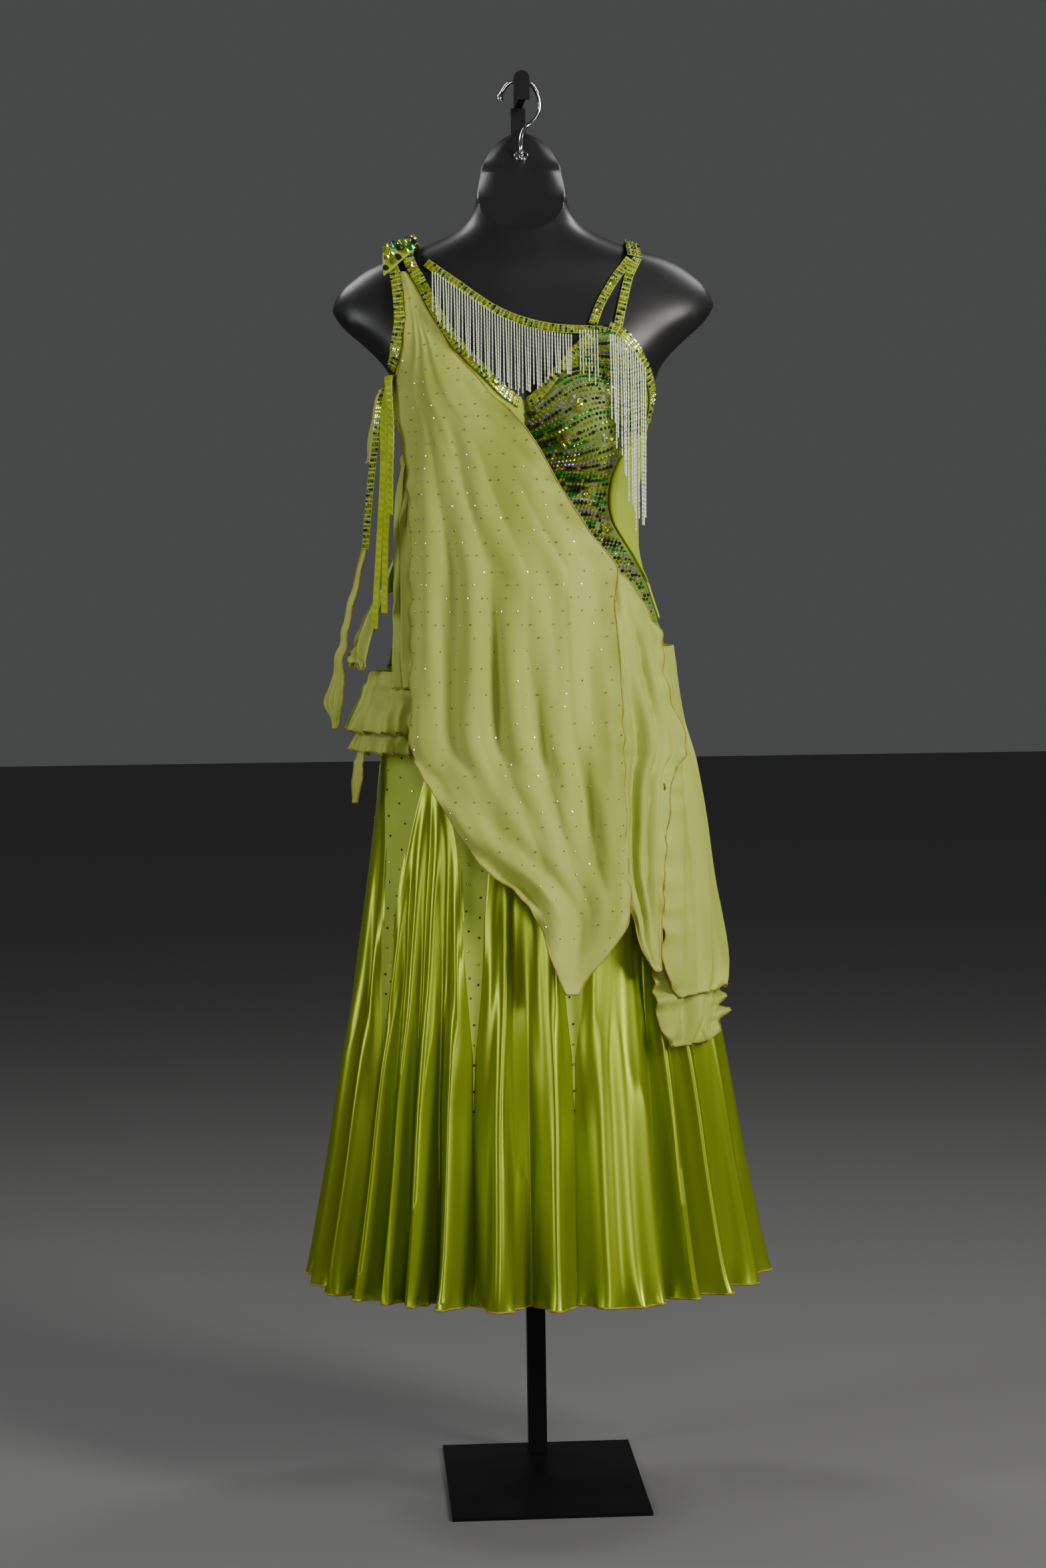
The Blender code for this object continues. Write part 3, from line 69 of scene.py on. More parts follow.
def outerSide(node, thick, close):
    # Triangles of a thin wall's outer side. Those of its border each have one edge as long as the
    # wall is thick, and parting at them leaves the two sides.
    corners, faces = weldedMesh(node)
    users = {}
    for face in faces:
        for a, b in edgePairs(face):
            users.setdefault(frozenset((a, b)), []).append(face)

    def inBorder(face):
        return any(abs((corners[a] - corners[b]).length - thick) < close for a, b in edgePairs(face))

    def beside(face):
        return [other for a, b in edgePairs(face) for other in users[frozenset((a, b))] if other != face]

    left = {face for face in faces if not inBorder(face)}
    parts = []
    while left:
        part = [left.pop()]
        for face in part:
            for other in beside(face):
                if other in left:
                    left.remove(other)
                    part.append(other)
        parts.append(part)
    parts.sort(key=len, reverse=True)
    sides = [set(part) for part in parts[:2]]
    loose = set(faces) - sides[0] - sides[1]
    found = True
    while found:
        found = False
        for face in list(loose):
            for side in sides:
                if face in loose and sum(other in side for other in beside(face)) > 1:
                    side.add(face)
                    loose.remove(face)
                    found = True

    def outwards(side):
        total = 0.0
        for face in side:
            a, b, c = (corners[k] for k in face)
            normal = (b - a).cross(c - a)
            total += normal.x * (a.x + b.x + c.x) + normal.y * (a.y + b.y + c.y)
        return total

    return corners, max(sides, key=outwards)


def borderLoop(side):
    # Triangles at every edge of a side, how many meet at each corner, and its border in order.
    users = {}
    count = {}
    for face in side:
        for a, b in edgePairs(face):
            users.setdefault(frozenset((a, b)), []).append(face)
        for k in face:
            count[k] = count.get(k, 0) + 1
    border = {a: b for face in side for a, b in edgePairs(face) if len(users[frozenset((a, b))]) == 1}
    loop = [next(iter(border))]
    while border[loop[-1]] != loop[0] and len(loop) <= len(border):
        loop.append(border[loop[-1]])
    return users, count, loop


def gridChains(loop, count, corners, spans):
    # The border loop parted at the grid's four corners, where the fewest triangles meet.
    total = len(loop)
    best = None
    for first, second in (spans, spans[::-1]):
        for start in range(total):
            marks = [start, start + first, start + first + second, start + 2 * first + second]
            cost = 0.0
            for mark in marks:
                here = corners[loop[mark % total]]
                ahead = (corners[loop[(mark + 1) % total]] - here).normalized()
                back = (corners[loop[mark % total - 1]] - here).normalized()
                cost += count[loop[mark % total]] + 1.5 * abs(ahead.dot(back))
            if best is None or cost < best[0]:
                best = (cost, marks + [start + total])
    marks = best[1]
    return [[loop[k % total] for k in range(a, b + 1)] for a, b in zip(marks, marks[1:])]


def readGrid(node, thick, lengthwise, close):
    # Points of a wall's outer side in rows, the lowest row first and each from left to right.
    # Lengthwise, the rows run across a band and follow it from one end.
    corners, side = outerSide(node, thick, close)
    users, count, loop = borderLoop(side)
    half = len(loop) / 2
    gap = math.sqrt(max(half * half - 2 * len(side), 0.0))
    spans = (round((half + gap) / 2), round((half - gap) / 2))
    if 2 * spans[0] * spans[1] != len(side) or spans[0] + spans[1] != half:
        raise ValueError(f"{node}: {len(side)} triangles with a border of {len(loop)}")
    chains = gridChains(loop, count, corners, spans)

    def order(k):
        chain = chains[k]
        height = sum(corners[c].z for c in chain) / len(chain)
        return (len(chain), height) if lengthwise else (0, height)

    start = min(range(4), key=order)
    bottom, right, top, left = (chains[(start + k) % 4] for k in range(4))
    left = left[::-1]
    if len(bottom) > 3:
        rows = peeled(bottom, left, right, users, len(left) - 1)
    else:
        inner = set(count) - set(loop)
        rows = [bottom]
        for k in range(1, len(left) - 1):
            middle = (corners[left[k]] + corners[right[k]]) / 2
            near = [min(inner, key=lambda c: (corners[c] - middle).length)] if inner else []
            rows.append([left[k]] + near + [right[k]])
    rows.append(top[::-1])
    return np.array([[corners[c] for c in row] for row in rows])


def readStrip(node, thick):
    # Points of a narrow strip's outer side in rows of three from its lower end. Each end is the outer
    # one of two corners that are as far apart as the strip is thick.
    corners = weldedMesh(node)[0]
    outer = []
    for k, a in enumerate(corners):
        for b in corners[:k]:
            if abs((a - b).length - thick) < 0.00005:
                outer.append(max(a, b, key=lambda corner: corner.x**2 + corner.y**2))
    outer.sort(key=lambda corner: corner.z)
    rows = [[outer[0]]]
    for a, b in zip(outer, outer[1:]):
        if b.z - a.z > 0.003:
            rows.append([])
        rows[-1].append(b)
    points = []
    for row in rows:
        row.sort(key=lambda corner: -corner.y)
        middle = row[1] if len(row) == 3 else (row[0] + row[-1]) / 2
        points.append([row[0], middle, row[-1]])
    return np.array(points)


def readGodet(node, thick, close):
    # Points of a godet's outer side in ten rows from its hem. Its top row is a hair wide, and is made
    # from its two ends.
    corners, side = outerSide(node, thick, close)
    users, loop = borderLoop(side)[::2]
    low = min(corners[k].z for k in loop) + 0.0005
    first = next(k for k in range(len(loop)) if corners[loop[k]].z <= low < corners[loop[k - 1]].z)
    loop = loop[first:] + loop[:first]
    wide = next(k for k in range(len(loop)) if corners[loop[k]].z > low)
    bottom = loop[:wide]
    right = loop[wide - 1:wide + 9]
    left = [loop[0]] + loop[:-10:-1]
    rows = [[corners[c] for c in row] for row in peeled(bottom, left, right, users, 9)]
    start, end = corners[left[9]], corners[right[9]]
    rows.append([start.lerp(end, k / (wide - 1)) for k in range(wide)])
    return np.array(rows)


def peeled(bottom, left, right, users, count):
    # Rows of corners above the lowest one, each found over the triangles of the row before.
    rows = [bottom]
    before = set()
    for k in range(1, count):
        row = rows[-1]
        upper = [left[k]]
        for a, b in zip(row, row[1:]):
            third = next(c for face in users[frozenset((a, b))] for c in face
                         if c not in (a, b) and c not in before)
            if third == upper[-1]:
                third = next(c for face in users[frozenset((b, third))] for c in face
                             if c not in (a, b, third))
            upper.append(third)
        if upper[-1] != right[k]:
            raise ValueError(f"row {k} goes astray")
        rows.append(upper)
        before = set(row)
    return rows


def gridOf(node, thick, kind="wall"):
    # A wall's grid by its kind, or None where its triangles don't part into one
    for close in tolerances:
        try:
            if kind == "strip":
                return readStrip(node, thick)
            if kind == "godet":
                return readGodet(node, thick, close)
            return readGrid(node, thick, kind == "band", close)
        except (ValueError, KeyError, IndexError, StopIteration):
            continue
    print("no grid in", node)
    return None


def splineAt(values, places, wanted):
    # Values at the wanted places, on a smooth line through those at the given places.
    steps = np.diff(places)
    shape = (-1,) + (1,) * (values.ndim - 1)
    slopes = np.diff(values, axis=0) / steps.reshape(shape)
    weights = (steps[1:] / (steps[1:] + steps[:-1])).reshape(shape)
    inner = slopes[:-1] * weights + slopes[1:] * (1 - weights)
    tangents = np.concatenate([slopes[:1], inner, slopes[-1:]])
    index = np.clip(np.searchsorted(places, wanted, side="right") - 1, 0, len(steps) - 1)
    step = steps[index].reshape(shape)
    t = ((wanted - places[index]) / steps[index]).reshape(shape)
    first = (2 * t**3 - 3 * t**2 + 1) * values[index] + (t**3 - 2 * t**2 + t) * step * tangents[index]
    second = (3 * t**2 - 2 * t**3) * values[index + 1] + (t**3 - t**2) * step * tangents[index + 1]
    return first + second


def lengthsAlong(points):
    # Length from the first row to each point, down every column.
    steps = np.linalg.norm(np.diff(points, axis=0), axis=2)
    return np.concatenate([np.zeros((1, points.shape[1])), np.cumsum(steps, axis=0)])


def lengthsAcross(points):
    return lengthsAlong(points.transpose(1, 0, 2)).T


def refined(points, rows, columns, low=1.0, side=1.0):
    # The same surface with more rows and columns. Low over 1 gathers rows at the lowest edge, and
    # side over 1 gathers columns at both sides.
    along = lengthsAlong(points).mean(axis=1)
    share = np.linspace(0.0, 1.0, rows) ** low
    points = splineAt(points, along, share * along[-1])
    across = lengthsAcross(points).mean(axis=0)
    turn = np.linspace(-1.0, 1.0, columns)
    share = 1 - (1 - np.sign(turn) * (1 - (1 - np.abs(turn)) ** side)) / 2
    return splineAt(points.transpose(1, 0, 2), across, share * across[-1]).transpose(1, 0, 2)


def nearest(values, wanted):
    return int(np.argmin(np.abs(values - wanted)))


def unit(vectors):
    return vectors / np.maximum(np.linalg.norm(vectors, axis=-1, keepdims=True), 1e-9)


def gridNormals(points):
    down = np.gradient(points, axis=0)
    side = np.gradient(points, axis=1)
    return unit(np.cross(side, down))


def softStep(value):
    value = np.clip(value, 0.0, 1.0)
    return value * value * (3 - 2 * value)


# Folds and edges in the cloth

def shares(points):
    across = lengthsAcross(points)
    along = lengthsAlong(points).mean(axis=1)
    return across / np.maximum(across[:, -1:], 1e-6), (along / along[-1])[:, None], across[:, -1:]


def creased(points, creases, scale=1.0, shift=0.0):
    # Soft ridges, or troughs where the depth is negative. Each crease: share across and up at its
    # start, share across and up at its end, width and depth.
    u, v, width = shares(points)
    lift = np.zeros(points.shape[:2])
    for startU, startV, endU, endV, wide, deep in creases:
        t = np.clip((v - startV) / (endV - startV), 0.0, 1.0)
        away = (u - (startU + shift + (endU - startU) * t)) * width
        low, high = min(startV, endV), max(startV, endV)
        fade = softStep((high - v) / 0.14) if high < 0.999 else 1.0
        if low > 0.001:
            fade = fade * softStep((v - low) / 0.14)
        narrow = wide * np.clip(width / 0.10, 0.35, 1.0)
        shape = np.exp(-(away / narrow) ** 2) if deep > 0 else np.exp(-np.abs(away / narrow) ** 1.3)
        lift += deep * scale * fade * shape * np.clip(width / 0.05, 0.0, 1.0)
    return points + gridNormals(points) * lift[:, :, None]


def wavy(length, period):
    # Uneven wave along an edge.
    turn = 2 * math.pi * length / period
    return np.sin(turn + 1.4 * np.sin(turn / 3.7 + 0.6)) * (0.7 + 0.3 * np.sin(turn / 2.3 + 1.0))


def curled(points, edges, period, deep, fall):
    # Rolled edge that waves in and out, fading away from the edge.
    across = lengthsAcross(points)
    along = lengthsAlong(points)
    rowWidth = np.clip(across[:, -1:] / 0.05, 0.0, 1.0)
    lift = np.zeros(points.shape[:2])
    if "low" in edges:
        lift += wavy(across[:1], period) * np.exp(-along / fall)
    if "left" in edges:
        lift += wavy(along[:, :1] + 0.011, period) * np.exp(-across / fall) * rowWidth
    if "right" in edges:
        lift += wavy(along[:, -1:] + 0.017, period) * np.exp((across - across[:, -1:]) / fall) * rowWidth
    return points + gridNormals(points) * (deep * lift)[:, :, None]


def blurred(values, axis, spread):
    # Running mean along an axis with a soft window of the given spread in steps.
    half = int(spread * 2.5)
    window = np.exp(-0.5 * (np.arange(-half, half + 1) / spread) ** 2)
    window /= window.sum()
    pads = [(0, 0)] * values.ndim
    pads[axis] = (half, half)
    wide = np.pad(values, pads, mode="reflect", reflect_type="odd")
    return np.apply_along_axis(lambda line: np.convolve(line, window, mode="valid"), axis, wide)


def deepened(points, gain, spread):
    # The same flutes, deeper towards the low edge.
    level = blurred(points, 1, spread)
    normals = gridNormals(level)
    rise = ((points - level) * normals).sum(axis=2)
    return points + normals * (rise * gain * (1.0 - shares(points)[1]) ** 0.6)[:, :, None]


def calmed(points, spread, reach):
    # The same surface with its lumps evened out along its length, away from its edges.
    across = lengthsAcross(points)
    along = lengthsAlong(points)
    away = np.minimum(np.minimum(across, across[:, -1:] - across), np.minimum(along, along[-1:] - along))
    weight = softStep(away / reach)[:, :, None]
    return points * (1 - weight) + blurred(points, 0, spread) * weight


def widened(points, reach, under):
    # The same surface with one more column at both sides, tucked under its neighbours.
    normals = gridNormals(points)
    columns = [points]
    for edge, inner in ((0, 1), (-1, -2)):
        away = unit(points[:, edge] - points[:, inner])
        columns.append((points[:, edge] + away * reach - normals[:, edge] * under)[:, None])
    return np.concatenate([columns[1], columns[0], columns[2]], axis=1)


def lengthened(points, before, after):
    # The same band with more length at its two ends.
    parts = [points]
    for edge, inner, reach in ((0, 2, before), (-1, -3, after)):
        if reach > 0:
            away = (points[edge] - points[inner]).mean(axis=0)
            away /= np.linalg.norm(away)
            steps = np.linspace(reach, 0.0, 9)[:-1] if edge == 0 else np.linspace(0.0, reach, 9)[1:]
            more = points[edge][None] + away[None, None] * steps[:, None, None]
            parts = [more] + parts if edge == 0 else parts + [more]
    return np.concatenate(parts)


def pointed(points, reach):
    # The same panel with its low end drawn out to a point, on top of its neighbours.
    middle = points[0].mean(axis=0)
    down = middle - points[3].mean(axis=0)
    down /= np.linalg.norm(down)
    outward = gridNormals(points)[0].mean(axis=0)
    rows = []
    for t in np.linspace(1.0, 0.1, 10):
        place = middle + down * reach * t + outward * 0.0012 * min(t * 3, 1.0)
        rows.append(place + (points[0] - middle) * (1.0 - 0.92 * t))
    return np.concatenate([np.array(rows), points])


# Making meshes

def linked(name, data):
    piece = bpy.data.objects.new(name, data)
    bpy.context.scene.collection.objects.link(piece)
    return piece


def addObject(name, vertices, faces, materials, smooth=True, indices=None):
    mesh = bpy.data.meshes.new(name)
    mesh.from_pydata([tuple(map(float, vertex)) for vertex in vertices], [], [tuple(face) for face in faces])
    for material in materials:
        mesh.materials.append(material)
    if indices is not None:
        mesh.polygons.foreach_set("material_index", indices)
    mesh.polygons.foreach_set("use_smooth", [smooth] * len(mesh.polygons))
    mesh.update()
    return linked(name, mesh)


def shell(name, points, thick, material, sharp=60):
    # Closed thin shell with the points on its outer side and metres as its UV map.
    rows, columns = points.shape[:2]
    inner = points - gridNormals(points) * thick
    vertices = np.concatenate([points.reshape(-1, 3), inner.reshape(-1, 3)])
    size = rows * columns
    number = np.arange(size).reshape(rows, columns)
    a, b, c, d = number[:-1, :-1], number[:-1, 1:], number[1:, 1:], number[1:, :-1]
    faces = np.stack([a, b, c, d], axis=-1).reshape(-1, 4).tolist()
    faces += np.stack([d + size, c + size, b + size, a + size], axis=-1).reshape(-1, 4).tolist()
    border = list(number[0]) + list(number[1:, -1]) + list(number[-1, -2::-1]) + list(number[-2:0:-1, 0])
    faces += [(first, first + size, second + size, second) for first, second
              in zip(border, border[1:] + border[:1])]
    piece = addObject(name, vertices, faces, [material])
    across = lengthsAcross(points).reshape(-1)
    along = lengthsAlong(points).reshape(-1)
    metres = np.stack([np.tile(across, 2), np.tile(along, 2)], axis=1)
    links = np.zeros(len(piece.data.loops), dtype=np.int32)
    piece.data.loops.foreach_get("vertex_index", links)
    layer = piece.data.uv_layers.new(name="metres")
    layer.data.foreach_set("uv", metres[links].reshape(-1).astype(np.float32))
    piece.data.set_sharp_from_angle(angle=math.radians(sharp))
    return piece


def sweep(name, path, radius, sides, material):
    # Round thread along a path.
    path = np.asarray(path)
    ahead = unit(np.gradient(path, axis=0))
    side = unit(np.cross(ahead, (0.31, 0.17, 0.93)))
    up = np.cross(ahead, side)
    turns = 2 * math.pi * np.arange(sides) / sides
    ring = side[:, None] * np.cos(turns)[None, :, None] + up[:, None] * np.sin(turns)[None, :, None]
    vertices = (path[:, None] + ring * radius).reshape(-1, 3)
    faces = []
    for k in range(len(path) - 1):
        for m in range(sides):
            n = (m + 1) % sides
            faces.append((k * sides + m, k * sides + n, (k + 1) * sides + n, (k + 1) * sides + m))
    faces.append(tuple(range(sides))[::-1])
    faces.append(tuple(len(vertices) - sides + m for m in range(sides)))
    return addObject(name, vertices, faces, [material])


def smoothCopy(name, node, levels, material, swell=0.0, crease=35, quads=True):
    # Finer copy of a node's solid, with its sharp edges kept.
    corners, faces = weldedMesh(node)
    bm = bmesh.new()
    made = [bm.verts.new(corner) for corner in corners]
    for face in faces:
        bm.faces.new([made[k] for k in face])
    bmesh.ops.recalc_face_normals(bm, faces=bm.faces)
    if quads:
        bmesh.ops.join_triangles(bm, faces=bm.faces, angle_face_threshold=math.radians(25),
                                 angle_shape_threshold=math.radians(60))
    bm.normal_update()
    if swell:
        for vertex in bm.verts:
            vertex.co += vertex.normal * swell
    layer = bm.edges.layers.float.new("crease_edge")
    for edge in bm.edges:
        if len(edge.link_faces) == 2 and edge.calc_face_angle() > math.radians(crease):
            edge[layer] = 0.85
    mesh = bpy.data.meshes.new(name)
    bm.to_mesh(mesh)
    bm.free()
    mesh.materials.append(material)
    mesh.polygons.foreach_set("use_smooth", [True] * len(mesh.polygons))
    piece = linked(name, mesh)
    finer = piece.modifiers.new("finer", "SUBSURF")
    finer.levels = levels
    finer.render_levels = levels
    return piece


# Materials

def shaderOf(material):
    return material.node_tree.nodes["Principled BSDF"]


def newMaterial(name, colour, roughness, settings=()):
    material = bpy.data.materials.new(name)
    material.use_nodes = True
    values = {"Base Color": (*colour, 1.0), "Roughness": roughness, **dict(settings)}
    for key, value in values.items():
        shaderOf(material).inputs[key].default_value = value
    return material


def addNode(material, kind, values=(), **settings):
    # A shader node with some settings and some of its inputs set.
    node = material.node_tree.nodes.new(kind)
    for key, value in settings.items():
        setattr(node, key, value)
    for key, value in dict(values).items():
        node.inputs[key].default_value = value
    return node


def join(material, *links):
    # Each link: node and output, then node and input.
    for start, out, end, into in links:
        material.node_tree.links.new(start.outputs[out], end.inputs[into])


def mottle(material, dark, light, scale, detail=3.0, stretch=(1.0, 1.0, 1.0)):
    # Uneven base colour between two tones, in object metres.
    place = addNode(material, "ShaderNodeTexCoord")
    mapping = addNode(material, "ShaderNodeMapping", {"Scale": stretch})
    noise = addNode(material, "ShaderNodeTexNoise", {"Scale": scale, "Detail": detail})
    ramp = addNode(material, "ShaderNodeValToRGB")
    for element, position, tone in zip(ramp.color_ramp.elements, (0.30, 0.72), (dark, light)):
        element.position = position
        element.color = (*tone, 1.0)
    join(material, (place, "Object", mapping, "Vector"), (mapping, "Vector", noise, "Vector"),
         (noise, "Fac", ramp, "Fac"), (ramp, "Color", shaderOf(material), "Base Color"))


def woven(material, thread, strength, distance, twill=0.0):
    # Bump of crossing threads, on the piece's own metres.
    place = addNode(material, "ShaderNodeUVMap", uv_map="metres")
    waves = []
    for turn in (twill, twill + math.pi / 2):
        mapping = addNode(material, "ShaderNodeMapping", {"Rotation": (0.0, 0.0, turn)})
        wave = addNode(material, "ShaderNodeTexWave",
                       {"Scale": 0.32 / thread, "Distortion": 1.2, "Detail": 1.0})
        join(material, (place, "UV", mapping, "Vector"), (mapping, "Vector", wave, "Vector"))
        waves.append(wave)
    both = addNode(material, "ShaderNodeMath", operation="MAXIMUM")
    bump = addNode(material, "ShaderNodeBump", {"Strength": strength, "Distance": distance})
    join(material, (waves[0], "Fac", both, 0), (waves[1], "Fac", both, 1),
         (both, "Value", bump, "Height"), (bump, "Normal", shaderOf(material), "Normal"))


def grained(material, scale, strength, distance, roughLow=None, roughHigh=None):
    # Fine moulded or painted grain, with uneven gloss.
    place = addNode(material, "ShaderNodeTexCoord")
    noise = addNode(material, "ShaderNodeTexNoise", {"Scale": scale, "Detail": 2.0})
    bump = addNode(material, "ShaderNodeBump", {"Strength": strength, "Distance": distance})
    join(material, (place, "Object", noise, "Vector"), (noise, "Fac", bump, "Height"),
         (bump, "Normal", shaderOf(material), "Normal"))
    if roughLow is not None:
        broad = addNode(material, "ShaderNodeTexNoise", {"Scale": 9.0})
        spread = addNode(material, "ShaderNodeMapRange",
                         {"From Min": 0.3, "From Max": 0.7, "To Min": roughLow, "To Max": roughHigh})
        join(material, (place, "Object", broad, "Vector"), (broad, "Fac", spread, "Value"),
             (spread, "Result", shaderOf(material), "Roughness"))


# Each finish: name, base colour, roughness, other shader values, then what is laid on it in order
finishes = {
    "form": ("formBlack", (0.014, 0.014, 0.0145), 0.38, {"Specular IOR Level": 0.42},
             (grained, 900.0, 0.06, 0.0002, 0.34, 0.44)),
    "stand": ("standBlack", (0.003, 0.003, 0.0032), 0.50, {"Specular IOR Level": 0.18},
              (grained, 1500.0, 0.15, 0.0002, 0.38, 0.52)),
    "chrome": ("hookChrome", (0.78, 0.78, 0.77), 0.10, {"Metallic": 1.0},
               (mottle, (0.72, 0.72, 0.71), (0.84, 0.84, 0.83), 60.0)),
    "satin": ("limeSatin", (0.30, 0.39, 0.012), 0.29,
              {"Anisotropic": 0.5, "Metallic": 0.68, "Specular IOR Level": 0.6},
              (mottle, (0.25, 0.33, 0.008), (0.34, 0.44, 0.018), 7.0, 3.0, (1.0, 1.0, 0.25)),
              (woven, 0.0007, 0.05, 0.0002, 0.6)),
    "jersey": ("greenJersey", (0.36, 0.48, 0.045), 0.62, {"Specular IOR Level": 0.25},
               (mottle, (0.32, 0.43, 0.038), (0.40, 0.52, 0.055), 12.0),
               (woven, 0.0009, 0.12, 0.0003)),
    "stoned": ("stonedJersey", (0.17, 0.24, 0.025), 0.55, {},
               (mottle, (0.12, 0.18, 0.018), (0.23, 0.31, 0.035), 45.0),
               (woven, 0.0008, 0.15, 0.0003)),
    "backing": ("bandJersey", (0.40, 0.52, 0.03), 0.50, {},
                (mottle, (0.33, 0.44, 0.02), (0.47, 0.60, 0.04), 60.0),
                (woven, 0.0008, 0.15, 0.0003)),
    "strip": ("limeStrip", (0.42, 0.54, 0.012), 0.34, {},
              (mottle, (0.34, 0.44, 0.008), (0.50, 0.62, 0.020), 40.0),
              (woven, 0.0008, 0.10, 0.0002, 0.6)),
    "chiffon": ("greenChiffon", (0.50, 0.57, 0.10), 0.62, {"Alpha": 0.84, "Specular IOR Level": 0.3},
                (mottle, (0.39, 0.46, 0.065), (0.60, 0.66, 0.14), 18.0, 2.0, (1.0, 1.0, 0.10)),
                (woven, 0.0008, 0.14, 0.0003)),
    "hem": ("rolledHem", (0.34, 0.24, 0.02), 0.50, {},
            (mottle, (0.24, 0.17, 0.015), (0.46, 0.36, 0.035), 160.0),
            (grained, 1400.0, 0.25, 0.0002)),
    "bead": ("pearlBead", (0.80, 0.86, 0.62), 0.16, {"Coat Weight": 0.5, "Coat Roughness": 0.08},
             (mottle, (0.62, 0.72, 0.42), (0.94, 0.96, 0.82), 500.0)),
}


def makeMaterials():
    made = {}
    for key, (name, colour, roughness, values, *layers) in finishes.items():
        made[key] = newMaterial(name, colour, roughness, values)
        for layer, *settings in layers:
            layer(made[key], *settings)
    return made


# Stones. Each: colour, metal share and roughness
stoneColours = {
    "peridot": ((0.46, 0.62, 0.05), 0.75, 0.14),
    "gold": ((0.70, 0.60, 0.16), 0.85, 0.14),
    "darkGreen": ((0.018, 0.055, 0.020), 0.55, 0.10),
    "blackDiamond": ((0.030, 0.032, 0.030), 0.60, 0.10),
    "emerald": ((0.005, 0.30, 0.035), 0.55, 0.12),
    "violet": ((0.42, 0.30, 0.48), 0.60, 0.14),
    "crystal": ((0.78, 0.84, 0.66), 0.85, 0.10),
}
stoneNames = list(stoneColours)


def makeStoneMaterials():
    made = []
    for name in stoneNames:
        colour, metal, rough = stoneColours[name]
        material = newMaterial("stone_" + name, colour, rough,
                               {"Metallic": metal, "Coat Weight": 0.6, "Coat Roughness": 0.05})
        dark = tuple(value * 0.65 for value in colour)
        light = tuple(min(value * 1.35, 0.95) for value in colour)
        mottle(material, dark, light, 260.0, 1.0)
        made.append(material)
    return made


def stoneShape(sides):
    # Corners and faces of a flat-backed faceted stone of unit size.
    turns = [2 * math.pi * (k + 0.5) / sides for k in range(sides)]
    rim = [(math.cos(t) / 2, math.sin(t) / 2, 0.0) for t in turns]
    girdle = [(math.cos(t) / 2, math.sin(t) / 2, 0.22) for t in turns]
    step = math.pi / sides
    table = [(0.27 * math.cos(t + step), 0.27 * math.sin(t + step), 1.0) for t in turns]
    faces = []
    for k in range(sides):
        n = (k + 1) % sides
        faces.append((k, n, sides + n, sides + k))
        faces.append((sides + k, sides + n, 2 * sides + k))
        faces.append((sides + n, 2 * sides + n, 2 * sides + k))
    faces.append(tuple(2 * sides + k for k in range(sides)))
    return np.array(rim + girdle + table), faces


def dress(piece, node=None):
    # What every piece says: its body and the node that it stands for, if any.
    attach(piece, "root")
    if node:
        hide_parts(node)
    return piece


def setStones(name, places, materials, sides=6):
    # One joined mesh of stones. Each place: point, normal, direction, length, width, height, colour.
    shape, faces = stoneShape(sides)
    vertices = []
    allFaces = []
    indices = []
    for point, normal, ahead, length, width, height, colour in places:
        up = Vector(normal).normalized()
        along = Vector(ahead)
        along = (along - up * along.dot(up)).normalized()
        aside = up.cross(along)
        base = len(vertices)
        for x, y, z in shape:
            vertices.append(Vector(point) + along * (x * length) + aside * (y * width) + up * (z * height))
        allFaces += [tuple(base + k for k in face) for face in faces]
        indices += [stoneNames.index(colour)] * len(faces)
    piece = addObject(name, vertices, allFaces, materials, smooth=False, indices=indices)
    return dress(piece)


# Making the cloth pieces

def declare(points):
    # Works out the width of a sheet's longest row from its own lengths, which nothing uses.
    width = float(lengthsAcross(points)[:, -1].max())


def edgePath(points, edges):
    # Points along some of a grid's edges, in order: down the left, along the low edge, up the right.
    path = []
    if "left" in edges:
        path += list(points[:0:-1, 0])
    if "low" in edges:
        path += list(points[0])
    if "right" in edges:
        path += list(points[1:, -1])
    return path


def plainCloth(node, settings, materials):
    # The node's own solid, finer and with the cloth's finish, where it gave no grid.
    print("flat width of", node, "is worked out from its area, not measured")
    piece = smoothCopy("cloth_" + node, node, 1, materials[settings["material"]], crease=60)
    dress(piece, node)


def gridOrPlain(node, thick, settings, materials, kind="wall"):
    # The node's grid, or None where it gave none and was dressed as its own solid.
    grid = gridOf(node, thick, kind)
    if grid is None:
        plainCloth(node, settings, materials)
    return grid


def clothPiece(node, points, settings, materials, extras=()):
    piece = shell("cloth_" + node, points, settings["thick"], materials[settings["material"]])
    dress(piece, node)
    extras = list(extras)
    if settings.get("hem"):
        path = edgePath(points - gridNormals(points) * settings["thick"] / 2, settings["hem"])
        hem = sweep("hem_" + node, path, settings["hemRadius"], 5, materials["hem"])
        extras.append(dress(hem))
    declare(points)


# Skirt

skirtLook = {
    "godetRows": 64,
    "godetColumnStep": 0.0042,
    "goreRows": 60,
    "goreColumns": 17,
    "curlPeriod": 0.034,
    "curlDeep": 0.0052,
    "curlFall": 0.015,
    "stoneSize": 0.0030,
    "stonePitch": 0.026,
    "fluteGain": 0.75,
    "fluteSpread": 6.0,
    "sideReach": 0.004,
    "sideUnder": 0.0013,
    "gorePoint": 0.075,
}
# Creases of a godet: share across and up at the hem, then at the upper end, width, depth
godetCreases = (
    (0.15, 0.00, 0.21, 0.80, 0.011, -0.0020),
    (0.40, 0.05, 0.41, 0.95, 0.009, -0.0022),
    (0.58, 0.00, 0.56, 0.60, 0.020, 0.0030),
    (0.81, 0.00, 0.75, 0.90, 0.010, -0.0021),
    (0.29, 0.25, 0.33, 0.75, 0.008, 0.0010),
    (0.69, 0.35, 0.65, 0.85, 0.008, -0.0012),
)


